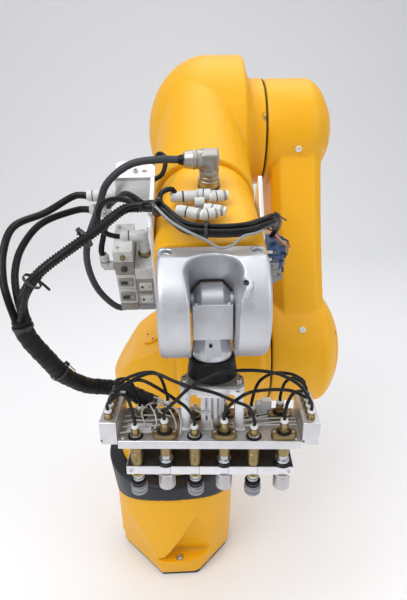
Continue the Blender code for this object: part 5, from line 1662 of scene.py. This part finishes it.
class ARM_OT_plates(bpy.types.Operator):
    """Build both gripper plates and the two manifolds with their ports"""
    bl_idname = "arm.plates"
    bl_label = "Build the plates"

    def execute(self, context):
        plate = Assembly("tool")
        plate.add(block((-.0898, -.028, -.1413), (.0838, .0275, PLATE_TOP), .0007, 3),
            "plate_aluminium")
        plate.add(block((-.0888, -.0268, -.13235), (.0828, .0265, -.13225), 0.0), "grimy_plate")
        # A flat grey sheet painted as the shade of a shallow round pocket in the plate's front
        # edge
        recess = []
        for i in range(33):
            angle = pi * i / 32
            recess.append((-.014 + .017 * cos(angle), -.0277 + .0105 * sin(angle)))
        plate.add(prism(recess, -.13235, -.13218), "terminal_grey")
        for x, y in ((-.0855, -.0235), (.0795, -.0235), (-.0855, .023), (.0795, .023),
                (-.06, .0225), (.054, .0225)):
            plate.screw(.0019, .0012, at(x, y, PLATE_TOP))
        plate.add(block((.044, .015, PLATE_TOP), (.05, .024, -.12), .0006), "fitting_white")
        plate.add(block((.05, .016, PLATE_TOP), (.06, .024, -.117), .0008), "collet_white")
        plate.add(block((-.084, -.013, -.1324), (-.06, -.001, -.1312), .0005), "fitting_white")
        plate.make("top_plate_skin", ("top_plate",), sharp=30.0)

        lower = Assembly("tool")
        cuts = [-.0841, -.041, -.013, .0151, .0432, .0781]
        for low, high in zip(cuts, cuts[1:]):
            lower.add(block((low + .00008, -.0265, -.1728), (high - .00008, .026, -.1633), .0005),
                "plate_aluminium")
        # A thin dark sheet on the lower plate's top: painted shade under the top plate
        lower.add(block((-.0835, -.0258, -.16335), (.0775, .0254, -.1632), 0.0), "painted_shade_plate")
        for x in (-.0795, .0735):
            lower.screw(.0018, .0011, at(x, -.0264, -.168) @ TO_FRONT)
        lower.make("lower_plate_skin", ("lower_plate",), sharp=30.0)

        for side, name, x0, x1 in ((-1, "manifold_left", -.1061, -.0901),
                (1, "manifold_right", .0841, .1001)):
            item = Assembly("tool")
            item.add(block((x0, -.028, -.1363), (x1, .0275, -.1118), .0008, 3), "plate_aluminium")
            centre = (x0 + x1) / 2
            for i in range(5):
                y = -.02 + .009875 * i
                place = at(centre, y, -.1118)
                item.add(drum(.004, 0.0, .0012, .0002, 28), "nozzle_brass", place)
                item.add(hexagon(.0039, .001, .0052), "nozzle_brass", place)
                item.add(turned([(.0052, .003), (.006, .0033), (.0068, .003)], 28),
                    "nozzle_brass", place)
                item.add(ring([(.0066, .0018), (.0066, .0031), (.0072, .0036), (.0088, .0036),
                    (.0095, .0031), (.0095, .0018)], 28), "collet_white", place)
            outer = x0 if side < 0 else x1
            facing = spin(side * pi / 2, "Y")
            for y in (-.018, 0.0, .018):
                item.screw(.002, .0012, at(outer, y, -.124) @ facing)
            item.add(drum(.001, 0.0, .0003, .0001, 16), "dark_plastic",
                at(x0 + .0012, -.028, -.132) @ TO_FRONT)
            item.make(f"{name}_skin", (name,), sharp=30.0)
        return {"FINISHED"}


def unit_top(item, x, y, raised):
    """What stands on the top plate: seat, brass port and its white release collar."""
    place = at(x, y, PLATE_TOP)
    if raised:
        item.add(prism(oval(.012, .0062, 32, .0055), .0002, .0052, .0004), "nozzle_brass", place)
        for side in (-1, 1):
            item.screw(.0013, .0008, place @ at(side * .0092, 0.0, .0051))
        item.add(ring([(.0052, .004), (.0052, .007), (.0068, .0066), (.0072, .004)], 40),
            "boot_rubber", place)
        base = .007
    else:
        item.add(ring([(.0001, .004), (.0001, .0074), (.0012, .0072), (.0017, .006),
            (.0014, .004)], 40), "boot_rubber", place)
        item.add(drum(.0054, .0008, .0024, .0003, 36), "bare_steel", place)
        base = .0012
    top = (.0193 if raised else .0128)
    item.add(turned([(base, .0046), (base + .0016, .0046), (base + .002, .0037),
        (top - .0036, .0037), (top - .0033, .0032)], 32), "nozzle_brass", place)
    item.add(hexagon(.0043, top - .0075, top - .0046), "nozzle_brass", place)
    item.add(ring([(top - .0036, .0018), (top - .0036, .0032), (top - .0026, .0038),
        (top - .001, .0038), (top, .0032), (top, .0018)], 32), "collet_white", place)


class ARM_OT_gripper_units(bpy.types.Operator):
    """Build the twelve gripper units, tapered cups and plain barrels in turn"""
    bl_idname = "arm.gripper_units"
    bl_label = "Build the gripper units"

    def execute(self, context):
        for row, y in (("front", -.02), ("back", .012)):
            for column, x in enumerate(UNIT_X):
                item = Assembly("tool")
                tapered = column % 2 == 0
                place = at(x, y, 0.0)
                unit_top(item, x, y, not tapered)
                if tapered:
                    item.add(turned([(-.163, .0058), (-.1624, .0062), (-.15, .0062),
                        (-.1496, .0058), (-.149, .0058), (-.1486, .0062), (-.1424, .0062),
                        (-.1416, .0056)], 40), "nozzle_brass", place)
                    item.add(drum(.0009, 0.0, .0004, .0001, 16), "dark_plastic", place
                        @ at(0.0, -.0059, -.156) @ TO_FRONT)
                    item.add(turned([(-.1762, .006), (-.1756, .0072), (-.1731, .0074)], 40),
                        "nozzle_brass", place)
                    item.add(turned([(-.185, .0056), (-.1838, .0056), (-.1834, .0046),
                        (-.1822, .0046), (-.1818, .0056), (-.1806, .0056), (-.1802, .0046),
                        (-.179, .0046), (-.1786, .0052), (-.1762, .0052)], 40), "bare_steel",
                        place)
                    item.add(ring([(-.1846, .005), (-.1852, .0076), (-.1842, .0078),
                        (-.1834, .005)], 40), "boot_rubber", place)
                    item.add(turned([(-.1985, .006), (-.1985, .0074), (-.1979, .008),
                        (-.1949, .0081), (-.1946, .0075), (-.194, .0075), (-.1937, .0083),
                        (-.1906, .0083), (-.1902, .0076), (-.1896, .0076), (-.1893, .0081),
                        (-.1881, .0078), (-.1878, .006), (-.185, .0058)], 48), "cup_steel", place)
                    item.add(drum(.0058, -.1987, -.1984, 0.0, 32), "boot_rubber", place)
                else:
                    item.add(turned([(-.1525, .005), (-.152, .0058), (-.1424, .006),
                        (-.1416, .0054)], 40), "nozzle_brass", place)
                    item.add(turned([(-.16, .0062), (-.1594, .0066), (-.1572, .0066),
                        (-.1568, .0052), (-.1524, .0052)], 40), "bare_steel", place)
                    item.add(ring([(-.163, .005), (-.163, .0088), (-.1614, .0086), (-.16, .0068),
                        (-.16, .005)], 40), "boot_rubber", place)
                    item.add(turned([(-.1911, .0058), (-.1911, .0076), (-.1905, .0081),
                        (-.177, .0082), (-.1766, .0079), (-.176, .0079), (-.1756, .0082),
                        (-.1731, .0082)], 48), "barrel_steel", place)
                    item.add(drum(.0056, -.1912, -.1908, 0.0, 32), "boot_rubber", place)
                item.make(f"unit_{row}_{column + 1}", (f"gripper_unit_{row}_{column + 1}",),
                    sharp=32.0)
        return {"FINISHED"}


# ---- Stage ----------------------------------------------------------------------------

class ARM_OT_stage(bpy.types.Operator):
    """Set up the pale floor with its curved backdrop, the soft lamps and the room light"""
    bl_idname = "arm.stage"
    bl_label = "Set the stage"

    def execute(self, context):
        stage = settings().stage
        finish = Finish("floor_surface", tuple(stage.floor), .75)
        finish.tint(finish.span(finish.noise(3.0, 3.0), .3, .7, 0.0, .05),
            tuple(c * .94 for c in stage.floor))
        finish.bump(finish.noise(240.0, 3.0), .0002, .3)
        form = bmesh.new()
        profile = [(-3.2, 0.0), (1.6, 0.0)]
        for i in range(1, 17):
            angle = pi / 2 * i / 16
            profile.append((1.6 + .9 * sin(angle), .9 * (1.0 - cos(angle))))
        profile.append((2.5, 4.2))
        rows = [[form.verts.new((x, y, z)) for x in (-5.0, 5.0)] for y, z in profile]
        for lower, upper in zip(rows, rows[1:]):
            form.faces.new((lower[0], lower[1], upper[1], upper[0]))
        mesh = meshed("floor", form)
        mesh.materials.append(keep(finish))
        mesh.shade_smooth()
        floor = linked("floor", mesh)
        for name, place, size, power in (("key_lamp", (-.9, -1.1, 1.9), 1.5, stage.key_power),
                ("fill_lamp", (1.5, -.9, 1.2), 1.4, stage.fill_power),
                ("top_lamp", (.3, .5, 2.2), 1.8, stage.fill_power * 1.6)):
            lamp = bpy.data.lights.new(name, "AREA")
            lamp.shape = "DISK"
            lamp.size = size
            lamp.energy = power
            item = linked(name, lamp)
            item.location = place
            aim = Vector((.03, 0.0, .35)) - Vector(place)
            item.rotation_euler = aim.to_track_quat("-Z", "Y").to_euler()
        world = bpy.data.worlds.new("room")
        world.use_nodes = True
        back = world.node_tree.nodes["Background"]
        nodes, links = world.node_tree.nodes, world.node_tree.links
        apart = nodes.new("ShaderNodeSeparateXYZ")
        links.new(nodes.new("ShaderNodeTexCoord").outputs["Generated"], apart.inputs[0])
        rise = nodes.new("ShaderNodeMapRange")
        links.new(apart.outputs["Z"], rise.inputs[0])
        for i, number in enumerate((-.1, .8, stage.sky * .45, stage.sky * 1.7)):
            rise.inputs[i + 1].default_value = number
        links.new(rise.outputs[0], back.inputs["Strength"])
        back.inputs["Color"].default_value = (.96, .97, 1.0, 1.0)
        context.scene.world = world
        context.scene.view_settings.view_transform = "Standard"
        return {"FINISHED"}


class ARM_PT_pieces(bpy.types.Panel):
    """Buttons for every piece of the arm, and the settings behind them"""
    bl_idname = "ARM_PT_pieces"
    bl_label = "Six-axis arm"
    bl_space_type = "VIEW_3D"
    bl_region_type = "UI"
    bl_category = "Arm"

    def draw(self, context):
        values = context.scene.arm_settings
        for group in (values.paint, values.metal, values.hose, values.stage):
            box = self.layout.box()
            for name in group.__annotations__:
                box.prop(group, name)
        column = self.layout.column(align=True)
        for step in STEPS:
            column.operator(step.bl_idname)


# The order of making: finishes, camera and cords first, then the pieces from the floor up
STEPS = (ARM_OT_finishes, ARM_OT_camera, ARM_OT_loops, ARM_OT_forearm_cords, ARM_OT_air_tubes,
    ARM_OT_base, ARM_OT_shoulder, ARM_OT_upper_arm, ARM_OT_elbow, ARM_OT_forearm_tube,
    ARM_OT_fork, ARM_OT_wrist, ARM_OT_connector, ARM_OT_left_bracket, ARM_OT_right_bracket,
    ARM_OT_fittings, ARM_OT_tool_mount, ARM_OT_plates, ARM_OT_gripper_units, ARM_OT_stage)
CLASSES = (PaintSettings, MetalSettings, HoseSettings, StageSettings, ArmSettings,
    ARM_PT_pieces) + STEPS


def register():
    """Register the classes and hang the settings on the scene."""
    for made in CLASSES:
        bpy.utils.register_class(made)
    bpy.types.Scene.arm_settings = PointerProperty(type=ArmSettings)


def unregister():
    """Take the settings and the classes away again."""
    del bpy.types.Scene.arm_settings
    for made in reversed(CLASSES):
        bpy.utils.unregister_class(made)


def main():
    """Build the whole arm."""
    register()
    for step in STEPS:
        group, name = step.bl_idname.split(".")
        getattr(getattr(bpy.ops, group), name)()


if __name__ == "__main__":
    main()
